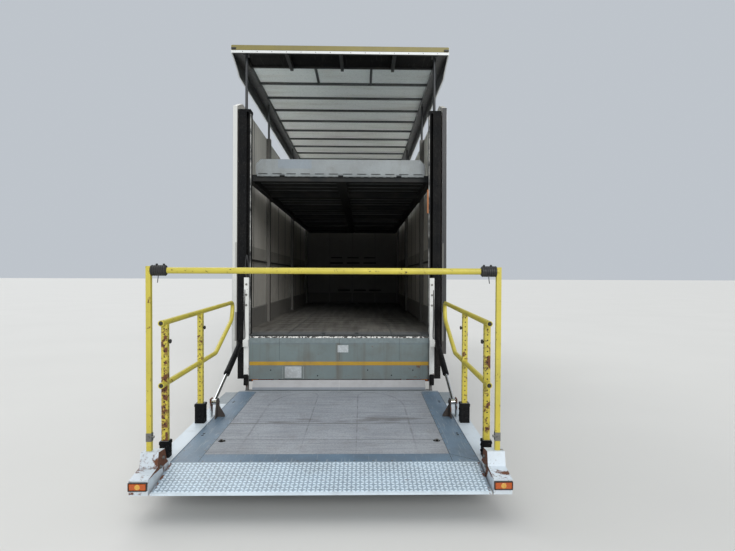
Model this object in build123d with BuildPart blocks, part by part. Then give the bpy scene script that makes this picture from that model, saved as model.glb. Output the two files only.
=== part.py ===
from build123d import *
import os
from math import atan2, cos, degrees, hypot, radians, sin

os.makedirs("parts", exist_ok=True)

# Rigid closed car transporter: cab, hollow two-deck box with a lifting roof, and a column
# lift with a guarded platform behind it. Millimetres, +Z up, +Y to the front of the truck,
# origin on the ground at the middle of the whole truck. A place along the truck is given
# as d, counted forward from the rear faces of the lift columns.

# Overall lengths
box_length = 8200
cab_gap = 180
cab_length = 2250
bumper_reach = 50
platform_root = 60        # tilt hinge, behind the columns
platform_length = 2710    # hinge to ramp tip
lamp_reach = 20           # tip lamps beyond the ramp
cab_back = box_length + cab_gap
cab_front = cab_back + cab_length
front_end = cab_front + bumper_reach
rear_y = -(front_end - platform_root - platform_length - lamp_reach) / 2

# Overall widths and heights
box_half = 1250
wall = 50
wall_top = 3750
wall_foot = 750
front_wall_foot = 900
floor_top = 970
floor_plate = 30
bearer_depth = 60
cab_half = 1200
cab_wall = 50

# Chassis frame: two channel rails with cross-members
frame_top = 820
rail_half = 430
rail_depth = 260
rail_flange = 80
rail_wall = 8
rail_rear = 320
rail_front = cab_front - 190
cross_members = (700, 1700, 2600, 3700, 4700, 5700, 7000, box_length + 100)
tow_eye_z = 530
tow_eye_height = 80
tow_eye_radius = 20

# Wheels and axles
front_axle_d = cab_front - 1330
rear_axle_d = 3100
tyre_radius = 420
tyre_width = 245
rim_radius = 248
front_track_half = 1030
twin_inner = 785
twin_outer = 1070
kingpin_half = 870
kingpin_radius = 22
hub_radius = 75
spindle_radius = 35
axle_radius = 60
running_gap = 0.4

# Lift columns and their cavity
column_inner = 1050
column_outer = 1185
column_depth = 150
column_wall = 8
column_foot = 460
column_top = 3605
cap_height = 30
slot_inner = 1066
slot_outer = 1090

# Lift carriage: arms behind the columns, sliders inside them
arm_inner = 1050
arm_outer = 1105
arm_depth = 36
arm_gap = 6
arm_top = 1640
arm_foot = 400
slider_table = ((560, 860), (1300, 1600))

# Platform, measured along (v) and above (w) its tilt hinge
hinge_z = 310
deck_rise = 30
platform_tilt = 1.35
frame_drop = 50
board_half = 940
side_plate_half = 1140
sill_half = 1275
ramp_length = 400
ramp_fall = 66
band_length = 165
board_thickness = 8
root_gap = 30
lashing_hole_x = 885
lashing_hole_v = 315
lashing_hole_radius = 26

# Guard rails and portal on the platform
rail_x = 1212
rail_pipe = 22
rail_post = 46
rail_height = 1018
mid_rail_height = 558
lamp_width = 124
lamp_height = 56
rail_front_v = -40
rail_rear_v = -platform_length + 420
mid_post_v = -1300
near_post_v = -platform_length + 510
portal_v = -platform_length + 250
portal_x = 1232
portal_post = 34
portal_top = 1440
portal_base = 140
coupler_radius = 35
coupler_length = 100

# Tilt cylinders
cylinder_x = 1143
cylinder_width = 44
cylinder_head_d = -50
cylinder_head_z = 880
cylinder_eye_v = -1100
cylinder_eye_w = 170
barrel_length = 680
barrel_radius = 32
rod_radius = 16
eye_radius = 36
pin_radius = 14

# Roof, raised
roof_top = 4350
roof_half = 1275
skirt_thickness = 18
skirt_depth = 230
roof_rail_inner = 1150
roof_rail_depth = 80
roof_sheet = 8
hood_length = 580
roof_bar_pitch = 610
roof_bar_depth = 30
roof_bar_width = 30
fascia_depth = 94
rod_places = (("column", 118), ("post", 2000), ("post", 4850), ("post", 7700))
column_rod_x = 1117
post_rod_x = 1172
lift_rod_radius = 16

# Guide posts inside the walls
post_inner = 1142
post_width = 100
post_bore = lift_rod_radius + running_gap

# Upper deck
deck_rear = 190
deck_front = 8050
deck_half = 1128
deck_top = 2875
deck_plate = 12
deck_beam = 65
flap_height = 200
flap_half = 1017
shoe_gap = 0.4

# Cab
cab_floor = 1150
cab_floor_depth = 60
cab_foot = 645
cab_back_foot = 980
cab_edge_radius = 70
arch_radius = 560
pivot_d = cab_front - 45
pivot_z = 600
pivot_radius = 25
door_gap = 6
door_hinge_out = 15
bumper_top = 572
bumper_foot = 250


def at(d):
    """Y of a place d ahead of the columns' rear faces."""
    return rear_y + d


def aft(reach):
    """Place along the truck of a point this far behind the cab's front."""
    return cab_front - reach


def cross_plane(d):
    """Upright plane across the truck: sketch X and Z, extrude towards the rear."""
    return Plane(origin=(0, at(d), 0), x_dir=(1, 0, 0), z_dir=(0, -1, 0))


def bar(x, d, z, mode=Mode.ADD):
    """Rectangular plate or bar between pairs of faces."""
    with Locations(((x[0] + x[1]) / 2, at((d[0] + d[1]) / 2), (z[0] + z[1]) / 2)):
        Box(x[1] - x[0], d[1] - d[0], z[1] - z[0], mode=mode)


def pair(x, d, z, mode=Mode.ADD):
    """The same bar on the right and on the left."""
    bar(x, d, z, mode)
    bar((-x[1], -x[0]), d, z, mode)


def rod_between(start, end, radius, mode=Mode.ADD):
    """Round rod between two points."""
    run = Vector(*end) - Vector(*start)
    with BuildSketch(Plane(origin=start, z_dir=run)) as section:
        Circle(radius)
    extrude(section.sketch, amount=run.length, mode=mode)


def pipe(points, radii, radius):
    """Bent pipe through the points, with a bend radius at each inner point."""
    with BuildLine() as route:
        FilletPolyline(*points, radius=radii)
    with BuildSketch(Plane(origin=points[0], z_dir=route.wire() % 0)) as section:
        Circle(radius)
    sweep(section.sketch, path=route.wire())


# Chassis frame
with BuildPart() as chassis_frame:
    with BuildSketch(cross_plane(rail_front)):
        with BuildLine():
            Polyline(
                (rail_half - rail_flange, frame_top),
                (rail_half, frame_top),
                (rail_half, frame_top - rail_depth),
                (rail_half - rail_flange, frame_top - rail_depth),
                (rail_half - rail_flange, frame_top - rail_depth + rail_wall),
                (rail_half - rail_wall, frame_top - rail_depth + rail_wall),
                (rail_half - rail_wall, frame_top - rail_wall),
                (rail_half - rail_flange, frame_top - rail_wall),
                close=True,
            )
        make_face()
        mirror(about=Plane.YZ)
    extrude(amount=rail_front - rail_rear)
    member_z = (frame_top - rail_depth + 60, frame_top - 50)
    for member_d in cross_members:
        bar((-rail_half + rail_wall, rail_half - rail_wall), (member_d - 35, member_d + 35), member_z)
    bar((-rail_half, rail_half), (rail_rear - 12, rail_rear), (frame_top - rail_depth, frame_top))
    # Cab pivot lugs, radiator cross-tube and tow eye block
    pair((rail_half - 70, rail_half), (rail_front, pivot_d), (pivot_z - 34, pivot_z + 34))
    pair((rail_half - 70, rail_half), (rail_front, cab_front + 10), (430, 500))
    pair((rail_half - 70, rail_half), (rail_front, rail_front + 50), (430, pivot_z + 34))
    bar((-rail_half, rail_half), (rail_front, rail_front + 50), (pivot_z - 100, pivot_z))
    for side in (-1, 1):
        rod_between(
            (side * (rail_half - 70), at(pivot_d), pivot_z),
            (side * rail_half, at(pivot_d), pivot_z),
            34,
        )
        rod_between(
            (side * rail_half, at(pivot_d), pivot_z),
            (side * (rail_half + 70), at(pivot_d), pivot_z),
            pivot_radius,
        )
    # Towing block with its upright pin hole
    tow_block_z = (tow_eye_z - tow_eye_height / 2, tow_eye_z + tow_eye_height / 2)
    bar((-60, 60), (rail_front + 50, rail_front + 160), tow_block_z)
    with Locations((0, at(rail_front + 110), tow_eye_z)):
        Cylinder(tow_eye_radius, tow_eye_height + 2, mode=Mode.SUBTRACT)
    # Rear cab mounts
    pair((300, rail_half), (cab_back + 80, cab_back + 180), (frame_top, cab_floor - cab_floor_depth - 0.5))
    # Rear under-run beam on two hangers
    pair((rail_half - 90, rail_half - 10), (rail_rear - 12, rail_rear + 40), (380, frame_top - rail_depth))
    bar((-1130, 1130), (rail_rear - 60, rail_rear - 12), (380, 500))

# Suspension: front leaf springs and rear air springs on trailing arms
spring_sag = 70
spring_half = 720
spring_pack = 36
beam_top = 430
with BuildPart() as suspension:
    with BuildSketch(Plane.YZ.offset(rail_half - rail_flange)):
        with BuildLine():
            ThreePointArc(
                (at(front_axle_d - spring_half), beam_top + spring_sag),
                (at(front_axle_d), beam_top),
                (at(front_axle_d + spring_half), beam_top + spring_sag),
            )
            Line(
                (at(front_axle_d + spring_half), beam_top + spring_sag),
                (at(front_axle_d + spring_half), beam_top + spring_sag + spring_pack),
            )
            ThreePointArc(
                (at(front_axle_d + spring_half), beam_top + spring_sag + spring_pack),
                (at(front_axle_d), beam_top + spring_pack),
                (at(front_axle_d - spring_half), beam_top + spring_sag + spring_pack),
            )
            Line(
                (at(front_axle_d - spring_half), beam_top + spring_sag + spring_pack),
                (at(front_axle_d - spring_half), beam_top + spring_sag),
            )
        make_face()
        for end in (-1, 1):
            with Locations((at(front_axle_d + end * (spring_half - 10)), beam_top + spring_sag + 35)):
                Rectangle(60, 2 * (frame_top - rail_depth - beam_top - spring_sag - 35))
    extrude(amount=rail_flange)
    with BuildSketch(Plane.YZ.offset(rail_half + 20)):
        with BuildLine():
            Polyline(
                (at(rear_axle_d + 700), 560),
                (at(rear_axle_d + 620), 560),
                (at(rear_axle_d + 90), tyre_radius - axle_radius),
                (at(rear_axle_d - 80), tyre_radius - axle_radius),
                (at(rear_axle_d - 420), 340),
                (at(rear_axle_d - 420), 290),
                (at(rear_axle_d + 110), 290),
                (at(rear_axle_d + 700), 480),
                close=True,
            )
        make_face()
    extrude(amount=80)
    bar((rail_half, rail_half + 100), (rear_axle_d + 600, rear_axle_d + 720), (500, 700))
    with BuildSketch(Plane.XY.offset(340)):
        with Locations((rail_half + 115, at(rear_axle_d - 310))):
            Circle(92)
    extrude(amount=300)
    bar((rail_half, rail_half + 200), (rear_axle_d - 400, rear_axle_d - 220), (640, 660))
    bar((rail_half + 20, rail_half + 200), (rear_axle_d - 400, rear_axle_d - 220), (300, 340))
    mirror(about=Plane.YZ)

# Engine with its gearbox, one plain block
gearbox_d = cab_back + 100
with BuildPart() as engine_block:
    bar((-340, 340), (aft(1550), aft(450)), (480, 1050))
    bar((-230, 230), (gearbox_d, aft(1550)), (520, 850))

# Fuel tank and battery box, hung outside the rails
with BuildPart() as fuel_tank:
    with BuildSketch(cross_plane(8050)):
        with Locations((-810, 560)):
            RectangleRounded(600, 460, 110)
    extrude(amount=1350)
    for strap_d in (7000, 7750):
        with BuildSketch(cross_plane(strap_d + 30)):
            with Locations((-810, 560)):
                RectangleRounded(616, 476, 118)
                RectangleRounded(600, 460, 110, mode=Mode.SUBTRACT)
        extrude(amount=60)
        bar((-560, -rail_half), (strap_d - 30, strap_d + 30), (790, 815))
        bar((-520, -rail_half), (strap_d - 30, strap_d + 30), (600, 815))
    with BuildSketch(Plane.XY.offset(785)):
        with Locations((-980, at(7900))):
            Circle(45)
    extrude(amount=50)

with BuildPart() as battery_box:
    bar((540, 1100), (7300, 8100), (360, 740))
    fillet(battery_box.edges().filter_by(Axis.Y), 30)
    bar((rail_half, 560), (7400, 7460), (560, 700))
    bar((rail_half, 560), (7940, 8000), (560, 700))

# Axles: dropped front beam with kingpin bosses, and the driven rear axle
beam_half = 50
boss_radius = 42
boss_height = 120
with BuildPart() as axles:
    with BuildSketch(cross_plane(front_axle_d + beam_half)):
        with BuildLine():
            Polyline(
                (0, 350),
                (600, 350),
                (760, tyre_radius - 45),
                (kingpin_half - boss_radius + 12, tyre_radius - 45),
                (kingpin_half - boss_radius + 12, tyre_radius + 45),
                (720, tyre_radius + 45),
                (560, beam_top),
                (0, beam_top),
                close=True,
            )
        make_face()
        mirror(about=Plane.YZ)
    extrude(amount=2 * beam_half)
    for side in (-1, 1):
        with BuildSketch(Plane.XY.offset(tyre_radius - boss_height / 2)):
            with Locations((side * kingpin_half, at(front_axle_d))):
                Circle(boss_radius)
        extrude(amount=boss_height)
        with Locations((side * kingpin_half, at(front_axle_d), tyre_radius)):
            Cylinder(kingpin_radius + running_gap, boss_height + 2, mode=Mode.SUBTRACT)
    with BuildSketch(Plane(origin=(0, at(rear_axle_d), tyre_radius), x_dir=(1, 0, 0), z_dir=(0, 1, 0))):
        with BuildLine():
            Polyline(
                (0, 185),
                (90, 175),
                (260, axle_radius),
                (860, axle_radius),
                (864, spindle_radius + 15),
                (1150, spindle_radius + 15),
                (1150, 0),
                (0, 0),
                close=True,
            )
        make_face()
        mirror(about=Plane.YZ)
    revolve(axis=Axis((0, at(rear_axle_d), tyre_radius), (1, 0, 0)))
    with BuildSketch(cross_plane(rear_axle_d + 420)):
        with Locations((0, tyre_radius + 20)):
            Circle(75)
    extrude(amount=300)

# Propeller shaft from the gearbox to the rear axle
nose_d = rear_axle_d + 420
nose_z = tyre_radius + 20
bearing_d = cross_members[5]
bearing_z = 540
gearbox_z = 560
with BuildPart() as propeller_shaft:
    rod_between((0, at(nose_d), nose_z), (0, at(nose_d + 25), nose_z), 62)
    rod_between((0, at(nose_d + 15), nose_z), (0, at(bearing_d), bearing_z), 45)
    rod_between((0, at(bearing_d), bearing_z), (0, at(gearbox_d - 15), gearbox_z), 45)
    rod_between((0, at(gearbox_d - 25), gearbox_z), (0, at(gearbox_d), gearbox_z), 62)
    with Locations((0, at(bearing_d), bearing_z)):
        Sphere(65)
    bar((-80, 80), (bearing_d - 30, bearing_d + 30), (bearing_z, frame_top - rail_depth + 60))

# Steering knuckles: forked round the axle ends, with stub axle and steering arm
fork_reach = boss_height / 2 + 38
for_side = {"right": 1, "left": -1}
knuckles = {}
for name, side in for_side.items():
    with BuildPart() as knuckle:
        for lug in (-1, 1):
            with BuildSketch(Plane.XY.offset(tyre_radius + lug * (boss_height / 2 + 19.5) - 19)):
                with Locations((side * kingpin_half, at(front_axle_d))):
                    Circle(boss_radius)
                with Locations((side * (kingpin_half + 30), at(front_axle_d))):
                    Rectangle(60, 2 * boss_radius)
            extrude(amount=38)
        plate = sorted((side * (kingpin_half + 44), side * (kingpin_half + 64)))
        plate_z = (tyre_radius - fork_reach, tyre_radius + fork_reach)
        bar(plate, (front_axle_d - 55, front_axle_d + 55), plate_z)
        rod_between(
            (side * kingpin_half, at(front_axle_d), tyre_radius - fork_reach),
            (side * kingpin_half, at(front_axle_d), tyre_radius + fork_reach),
            kingpin_radius,
        )
        rod_between(
            (side * (kingpin_half + 50), at(front_axle_d), tyre_radius),
            (side * (front_track_half + 60), at(front_axle_d), tyre_radius),
            spindle_radius,
        )
        arm_x = sorted((side * (kingpin_half - 20), side * (kingpin_half + 30)))
        arm_z = (tyre_radius - fork_reach, tyre_radius - fork_reach + 26)
        bar(arm_x, (front_axle_d - 190, front_axle_d - 30), arm_z)
    knuckles[name] = knuckle

# Track rod under the two steering arms
track_rod_d = front_axle_d - 165
arm_under = tyre_radius - fork_reach
with BuildPart() as track_rod:
    track_end = kingpin_half - 8
    track_z = arm_under - 26
    rod_between((-track_end, at(track_rod_d), track_z), (track_end, at(track_rod_d), track_z), 16)
    for side in (-1, 1):
        with BuildSketch(Plane.XY.offset(arm_under - 46)):
            with Locations((side * track_end, at(track_rod_d))):
                Circle(20)
        extrude(amount=45.6)

# Tyre and rim sections, turned about the X axis
rim_edge = 110
bead_edge = rim_edge - 12.5
with BuildPart() as tyre:
    with BuildSketch(Plane.XZ):
        with BuildLine():
            Line((-bead_edge, rim_radius), (-bead_edge, rim_radius + 18))
            ThreePointArc((-bead_edge, rim_radius + 18), (-tyre_width / 2, 335), (-104, 404))
            ThreePointArc((-104, 404), (-94, 415), (-78, tyre_radius - 2))
            ThreePointArc((-78, tyre_radius - 2), (0, tyre_radius), (78, tyre_radius - 2))
            ThreePointArc((78, tyre_radius - 2), (94, 415), (104, 404))
            ThreePointArc((104, 404), (tyre_width / 2, 335), (bead_edge, rim_radius + 18))
            Line((bead_edge, rim_radius + 18), (bead_edge, rim_radius))
            Line((bead_edge, rim_radius), (78, rim_radius))
            ThreePointArc((78, rim_radius), (104, 330), (84, 388))
            Line((84, 388), (-84, 388))
            ThreePointArc((-84, 388), (-104, 330), (-78, rim_radius))
            Line((-78, rim_radius), (-bead_edge, rim_radius))
        make_face()
    revolve(axis=Axis.X)

with BuildPart() as rim_barrel:
    with BuildSketch(Plane.XZ):
        with BuildLine():
            Polyline(
                (-rim_edge, rim_radius + 14),
                (-rim_edge + 10, rim_radius + 14),
                (-rim_edge + 12, rim_radius),
                (-60, rim_radius),
                (-48, rim_radius - 14),
                (48, rim_radius - 14),
                (60, rim_radius),
                (rim_edge - 12, rim_radius),
                (rim_edge - 10, rim_radius + 14),
                (rim_edge, rim_radius + 14),
                (rim_edge, rim_radius - 4),
                (66, rim_radius - 9),
                (52, rim_radius - 23),
                (-52, rim_radius - 23),
                (-66, rim_radius - 9),
                (-rim_edge, rim_radius - 4),
                close=True,
            )
        make_face()
    revolve(axis=Axis.X)


def wheel_disc(face, dish):
    """Pressed wheel disc from the barrel to a flat hub face, with hand holes."""
    with BuildSketch(Plane.XZ) as section:
        with BuildLine():
            Polyline(
                (dish, rim_radius - 22),
                (dish + 12, rim_radius - 22),
                (face + 12, 165),
                (face + 12, hub_radius - 10),
                (face, hub_radius - 10),
                (face, 170),
                close=True,
            )
        make_face()
    revolve(section.sketch, axis=Axis.X)
    with BuildSketch(Plane.YZ.offset(min(face, dish) - 40)) as hand_holes:
        with PolarLocations(203, 8):
            Circle(23)
    extrude(hand_holes.sketch, amount=abs(face - dish) + 90, mode=Mode.SUBTRACT)


# Front wheel, outer side towards +X
with BuildPart() as front_rim:
    add(rim_barrel.part)
    wheel_disc(55, 20)
    with BuildSketch(Plane.XZ):
        with BuildLine():
            Polyline(
                (-85, 0),
                (-85, hub_radius + 25),
                (-40, hub_radius + 25),
                (-40, hub_radius),
                (100, hub_radius),
                (118, hub_radius - 20),
                (118, 0),
                close=True,
            )
        make_face()
    revolve(axis=Axis.X)
    with Locations((-11, 0, 0)):
        Cylinder(spindle_radius + running_gap, 150, rotation=(0, 90, 0), mode=Mode.SUBTRACT)

# Rear twin wheels as one piece, the outer wheel towards +X, about the twins' middle
twin_middle = (twin_inner + twin_outer) / 2
twin_half = (twin_outer - twin_inner) / 2
with BuildPart() as twin_rim:
    with BuildPart(mode=Mode.PRIVATE) as outer_rim:
        add(rim_barrel.part)
        wheel_disc(-twin_half, -50)
    add(outer_rim.part.moved(Location((twin_half, 0, 0))))
    add(mirror(outer_rim.part.moved(Location((twin_half, 0, 0))), about=Plane.YZ, mode=Mode.PRIVATE))
    with BuildSketch(Plane.XZ):
        with BuildLine():
            Polyline(
                (-58, spindle_radius + 15 + running_gap),
                (-58, hub_radius + 30),
                (20, hub_radius + 30),
                (20, hub_radius + 5),
                (230, hub_radius + 5),
                (250, hub_radius - 15),
                (250, 0),
                (228, 0),
                (228, spindle_radius + 15 + running_gap),
                close=True,
            )
        make_face()
    revolve(axis=Axis.X)

wheel_nodes = {}
for name, side in for_side.items():
    turn = Location((0, 0, 0), (0, 0, 0 if side > 0 else 180))
    front_hub = Location((side * front_track_half, at(front_axle_d), tyre_radius))
    with BuildPart() as front_tyre:
        add(tyre.part.moved(front_hub))
    with BuildPart() as front_wheel:
        add(front_rim.part.moved(front_hub * turn))
    with BuildPart() as rear_tyres:
        for place in (twin_inner, twin_outer):
            add(tyre.part.moved(Location((side * place, at(rear_axle_d), tyre_radius))))
    with BuildPart() as rear_wheels:
        add(twin_rim.part.moved(Location((side * twin_middle, at(rear_axle_d), tyre_radius)) * turn))
    wheel_nodes[f"front_{name}_tyre"] = front_tyre
    wheel_nodes[f"front_{name}_wheel"] = front_wheel
    wheel_nodes[f"rear_{name}_tyres"] = rear_tyres
    wheel_nodes[f"rear_{name}_wheels"] = rear_wheels

# Rear mudguards over the twin tyres
guard_radius = tyre_radius + 28
with BuildPart() as mudguards:
    with BuildSketch(Plane.YZ.offset(660)):
        with Locations((at(rear_axle_d), tyre_radius)):
            Circle(guard_radius + 5)
            Circle(guard_radius, mode=Mode.SUBTRACT)
        with Locations((at(rear_axle_d), tyre_radius - guard_radius + 90)):
            Rectangle(3 * guard_radius, 2 * guard_radius, mode=Mode.SUBTRACT)
    extrude(amount=535)
    guard_bracket = (tyre_radius + guard_radius + 2, floor_top - floor_plate - bearer_depth)
    bar((700, 1180), (rear_axle_d - 30, rear_axle_d + 30), guard_bracket)
    mirror(about=Plane.YZ)

# Side guards between the axles
guard_posts = (4180, 5300, 6420, 7540, 8100)
with BuildPart() as side_guards:
    for guard_z in ((400, 510), (620, 730)):
        bar((1165, 1190), (rear_axle_d + 650, cab_back + 120), guard_z)
    for post_d in guard_posts:
        bar((1125, 1165), (post_d - 25, post_d + 25), (400, floor_top - floor_plate - bearer_depth))
    mirror(about=Plane.YZ)

# Load floor: plate on cross-bearers and two long runners, notched for the columns
plate_under = floor_top - floor_plate
bearer_under = plate_under - bearer_depth
with BuildPart() as box_floor:
    bar((-box_half + wall, box_half - wall), (0, box_length - 60), (plate_under, floor_top))
    for bearer_d in range(260, box_length - 100, 560):
        bar((-box_half + wall, box_half - wall), (bearer_d - 30, bearer_d + 30), (bearer_under, plate_under))
    runner_d = (column_depth + 40, box_length - 100)
    pair((rail_half - rail_flange, rail_half), runner_d, (frame_top, plate_under))
    bar((-column_inner, column_inner), (0, 40), (bearer_under, plate_under))
    pair((column_inner, box_half), (-1, column_depth), (bearer_under - 1, floor_top + 1), Mode.SUBTRACT)

# Side walls: one hollow-looking profile along the box, with kick strip, lashing rail and cap
inner = box_half - wall
with BuildPart() as box_walls:
    with BuildSketch(cross_plane(box_length)):
        with BuildLine():
            Polyline(
                (inner, wall_foot),
                (box_half, wall_foot),
                (box_half, wall_top),
                (inner, wall_top),
                (inner, 1890),
                (inner - 18, 1882),
                (inner - 18, 1848),
                (inner, 1840),
                (inner, floor_top + 265),
                (inner - 14, floor_top + 255),
                (inner - 14, floor_top),
                (inner, floor_top),
                close=True,
            )
        make_face()
    extrude(amount=box_length)
    bar((inner - 30, inner), (-1, column_depth + 4), (wall_foot, wall_top), Mode.SUBTRACT)
    bar((inner - 30, inner), (box_length - 60, box_length + 1), (wall_foot, wall_top), Mode.SUBTRACT)
    with BuildSketch(Plane.YZ.offset(inner - 30)):
        with BuildLine():
            Polyline(
                (at(-1), column_top + 35),
                (at(280), wall_top + 1),
                (at(-1), wall_top + 1),
                close=True,
            )
        make_face()
    extrude(amount=box_half, mode=Mode.SUBTRACT)
    mirror(about=Plane.YZ)

# Front wall with its lashing slots
with BuildPart() as box_front_wall:
    bar((-inner, inner), (box_length - 60, box_length), (front_wall_foot, wall_top))
    for count, slot_z in ((3, 2095), (4, 1310)):
        with BuildSketch(cross_plane(box_length - 60)):
            with GridLocations(480, 0, count, 1):
                with Locations((0, slot_z)):
                    RectangleRounded(300, 70, 20)
        extrude(amount=-25, mode=Mode.SUBTRACT)

# Guide posts on the walls, bored for the roof rods
post_places = [d for kind, d in rod_places if kind == "post"]
with BuildPart() as guide_posts:
    for post_d in post_places:
        post_span = (post_d - post_width / 2, post_d + post_width / 2)
        bar((post_inner, inner - 18), post_span, (floor_top, wall_top))
        bar((inner - 18, inner), post_span, (1240, 1838))
        bar((inner - 18, inner), post_span, (1892, wall_top))
        with BuildSketch(Plane.XY.offset(wall_top - 1250)):
            with Locations((post_rod_x, at(post_d))):
                Circle(post_bore)
        extrude(amount=1260, mode=Mode.SUBTRACT)
    mirror(about=Plane.YZ)

# Lift columns: slotted boxes with a cap bored for the rear roof rods
cavity_d = (column_wall, column_depth - column_wall)
with BuildPart() as lift_columns:
    bar((column_inner, column_outer), (0, column_depth), (column_foot, column_top - cap_height))
    cavity_x = (column_inner + column_wall, column_outer - column_wall)
    cavity_z = (column_foot - 1, column_top - cap_height)
    bar(cavity_x, cavity_d, cavity_z, Mode.SUBTRACT)
    bar((slot_inner, slot_outer), (-1, column_wall + 1), cavity_z, Mode.SUBTRACT)
    bar(cavity_x, (90, 96), (column_foot, column_top - cap_height))
    bar((column_inner - 5, column_outer + 4), (0, column_depth), (column_top - cap_height, column_top))
    bar((column_inner, inner), (column_depth - 12, column_depth), (bearer_under, floor_top + 150))
    with BuildSketch(Plane.XY.offset(column_top - cap_height - 1)):
        with Locations((column_rod_x, at(118))):
            Circle(post_bore)
    extrude(amount=cap_height + 2, mode=Mode.SUBTRACT)
    mirror(about=Plane.YZ)

# Threshold panel under the floor's rear edge
panel_foot = 456
panel_trim = 1
with BuildPart() as rear_panel:
    bar((-column_inner, column_inner), (0, 30), (panel_foot, bearer_under))
    bar((-column_inner, column_inner), (-panel_trim, 0), (610, 672))
    bar((-638, -440), (-panel_trim, 0), (468, 606))
    bar((-column_inner, column_inner), (30, 200), (panel_foot, panel_foot + 20))
    pair((rail_half - 60, rail_half), (30, rail_rear - 12), (frame_top - 200, frame_top))

with BuildPart() as tail_lamps:
    with BuildSketch(cross_plane(rail_rear - 60)):
        with Locations((900, 440)):
            RectangleRounded(340, 100, 18)
    extrude(amount=45)
    mirror(about=Plane.YZ)

# Roof frame: skirts swept up at the rear, side rails, cross-bars, hood and lift rods
rail_under = roof_top - roof_rail_depth
roof_front = box_length + 6 + skirt_thickness
roof_end = box_length - 20
with BuildPart() as roof_frame:
    with BuildSketch(Plane.YZ.offset(roof_half - skirt_thickness)):
        with BuildLine():
            Polyline(
                (at(400), roof_top - skirt_depth),
                (at(roof_front), roof_top - skirt_depth),
                (at(roof_front), roof_top),
                (at(0), roof_top),
                (at(0), roof_top - fascia_depth),
            )
            ThreePointArc(
                (at(0), roof_top - fascia_depth),
                (at(190), roof_top - fascia_depth - 50),
                (at(400), roof_top - skirt_depth),
            )
        make_face()
    extrude(amount=skirt_thickness)
    bar((roof_rail_inner, roof_half - skirt_thickness), (0, box_length), (rail_under, roof_top))
    mirror(about=Plane.YZ)
    bar((-roof_half, roof_half), (-8, 22), (roof_top - fascia_depth, roof_top))
    skirt_z = (roof_top - skirt_depth, roof_top)
    bar((-roof_half, roof_half), (roof_front - skirt_thickness, roof_front), skirt_z)
    bar((-roof_half, roof_half), (roof_end, roof_front), (roof_top - roof_sheet, roof_top))
    bar((-roof_rail_inner, roof_rail_inner), (20, hood_length), (roof_top - 14, roof_top - 2))
    for rib_x in (-640, 0, 640):
        bar((rib_x - 20, rib_x + 20), (20, hood_length), (rail_under, roof_top - 14))
    bar_count = int((box_length - hood_length) // roof_bar_pitch) + 1
    bar_z = (roof_top - roof_sheet - roof_bar_depth, roof_top - roof_sheet)
    for index in range(bar_count):
        bar_d = hood_length + index * roof_bar_pitch
        bar((-roof_rail_inner, roof_rail_inner), (bar_d, bar_d + roof_bar_width), bar_z)
    for short_x in (-345, 370):
        bar(
            (short_x - 15, short_x + 15),
            (hood_length + roof_bar_width, hood_length + roof_bar_pitch),
            bar_z,
        )
    for kind, rod_d in rod_places:
        rod_x = column_rod_x if kind == "column" else post_rod_x
        foot_z = (column_top if kind == "column" else wall_top) - 620
        if kind == "column":
            bar((rod_x - 30, roof_rail_inner + 10), (rod_d - 40, rod_d + 40), (rail_under, rail_under + 30))
            pad_x = (-roof_rail_inner - 10, -rod_x + 30)
            bar(pad_x, (rod_d - 40, rod_d + 40), (rail_under, rail_under + 30))
        for side in (-1, 1):
            rod_foot = (side * rod_x, at(rod_d), foot_z)
            rod_head = (side * rod_x, at(rod_d), rail_under + 10)
            rod_between(rod_foot, rod_head, lift_rod_radius)

with BuildPart() as roof_panel:
    bar((-roof_rail_inner, roof_rail_inner), (hood_length, roof_end), (roof_top - roof_sheet, roof_top))

# Upper deck: plates on side beams, cross-beams and a middle beam
beam_under = deck_top - deck_plate - deck_beam
with BuildPart() as upper_deck:
    bar((-deck_half, deck_half), (deck_rear, deck_front), (deck_top - deck_plate, deck_top))
    pair((deck_half - 70, deck_half), (deck_rear, deck_front), (beam_under, deck_top - deck_plate))
    bar((-60, 60), (deck_rear, deck_front), (beam_under, deck_top - deck_plate))
    for beam_d in (deck_rear, 1500, 2900, 4300, 5700, 7000, deck_front - 60):
        bar((-deck_half, deck_half), (beam_d, beam_d + 60), (beam_under, deck_top - deck_plate))
    for post_d in post_places:
        shoe_d = (post_d - post_width / 2 - 30, post_d + post_width / 2 + 30)
        pair((deck_half, post_inner - shoe_gap), shoe_d, (beam_under, deck_top))
    # Hinge brackets for the rear flap
    for lug_x in (-700, 0, 700):
        bar((lug_x - 30, lug_x + 30), (deck_rear - 6, deck_rear), (deck_top - 40, deck_top))
        pin_start = (lug_x - 30, at(deck_rear - 16), deck_top - 12)
        pin_end = (lug_x + 30, at(deck_rear - 16), deck_top - 12)
        rod_between(pin_start, pin_end, 12)

# Rear flap of the upper deck, standing up a little inclined
flap_axis_d = deck_rear - 16
flap_axis_z = deck_top - 12
flap_lean = 4
flap_plane = Plane(
    origin=(0, at(flap_axis_d), flap_axis_z),
    x_dir=(1, 0, 0),
    z_dir=(0, -cos(radians(flap_lean)), sin(radians(flap_lean))),
)
with BuildPart() as deck_flap:
    with BuildSketch(flap_plane.offset(-12)):
        with BuildLine():
            Polyline(
                (-flap_half, 16),
                (flap_half, 16),
                (flap_half, flap_height - 60),
                (flap_half - 60, flap_height),
                (-flap_half + 60, flap_height),
                (-flap_half, flap_height - 60),
                close=True,
            )
        make_face()
    extrude(amount=14)
    for start_x, end_x in ((-1000, -730.5), (-669.5, -30.5), (30.5, 669.5), (730.5, 1000)):
        rod_between((start_x, at(flap_axis_d), flap_axis_z), (end_x, at(flap_axis_d), flap_axis_z), 12)
        with BuildSketch(flap_plane.offset(-12)):
            with Locations(((start_x + end_x) / 2, 10)):
                Rectangle(end_x - start_x, 14)
        extrude(amount=14)

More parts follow.
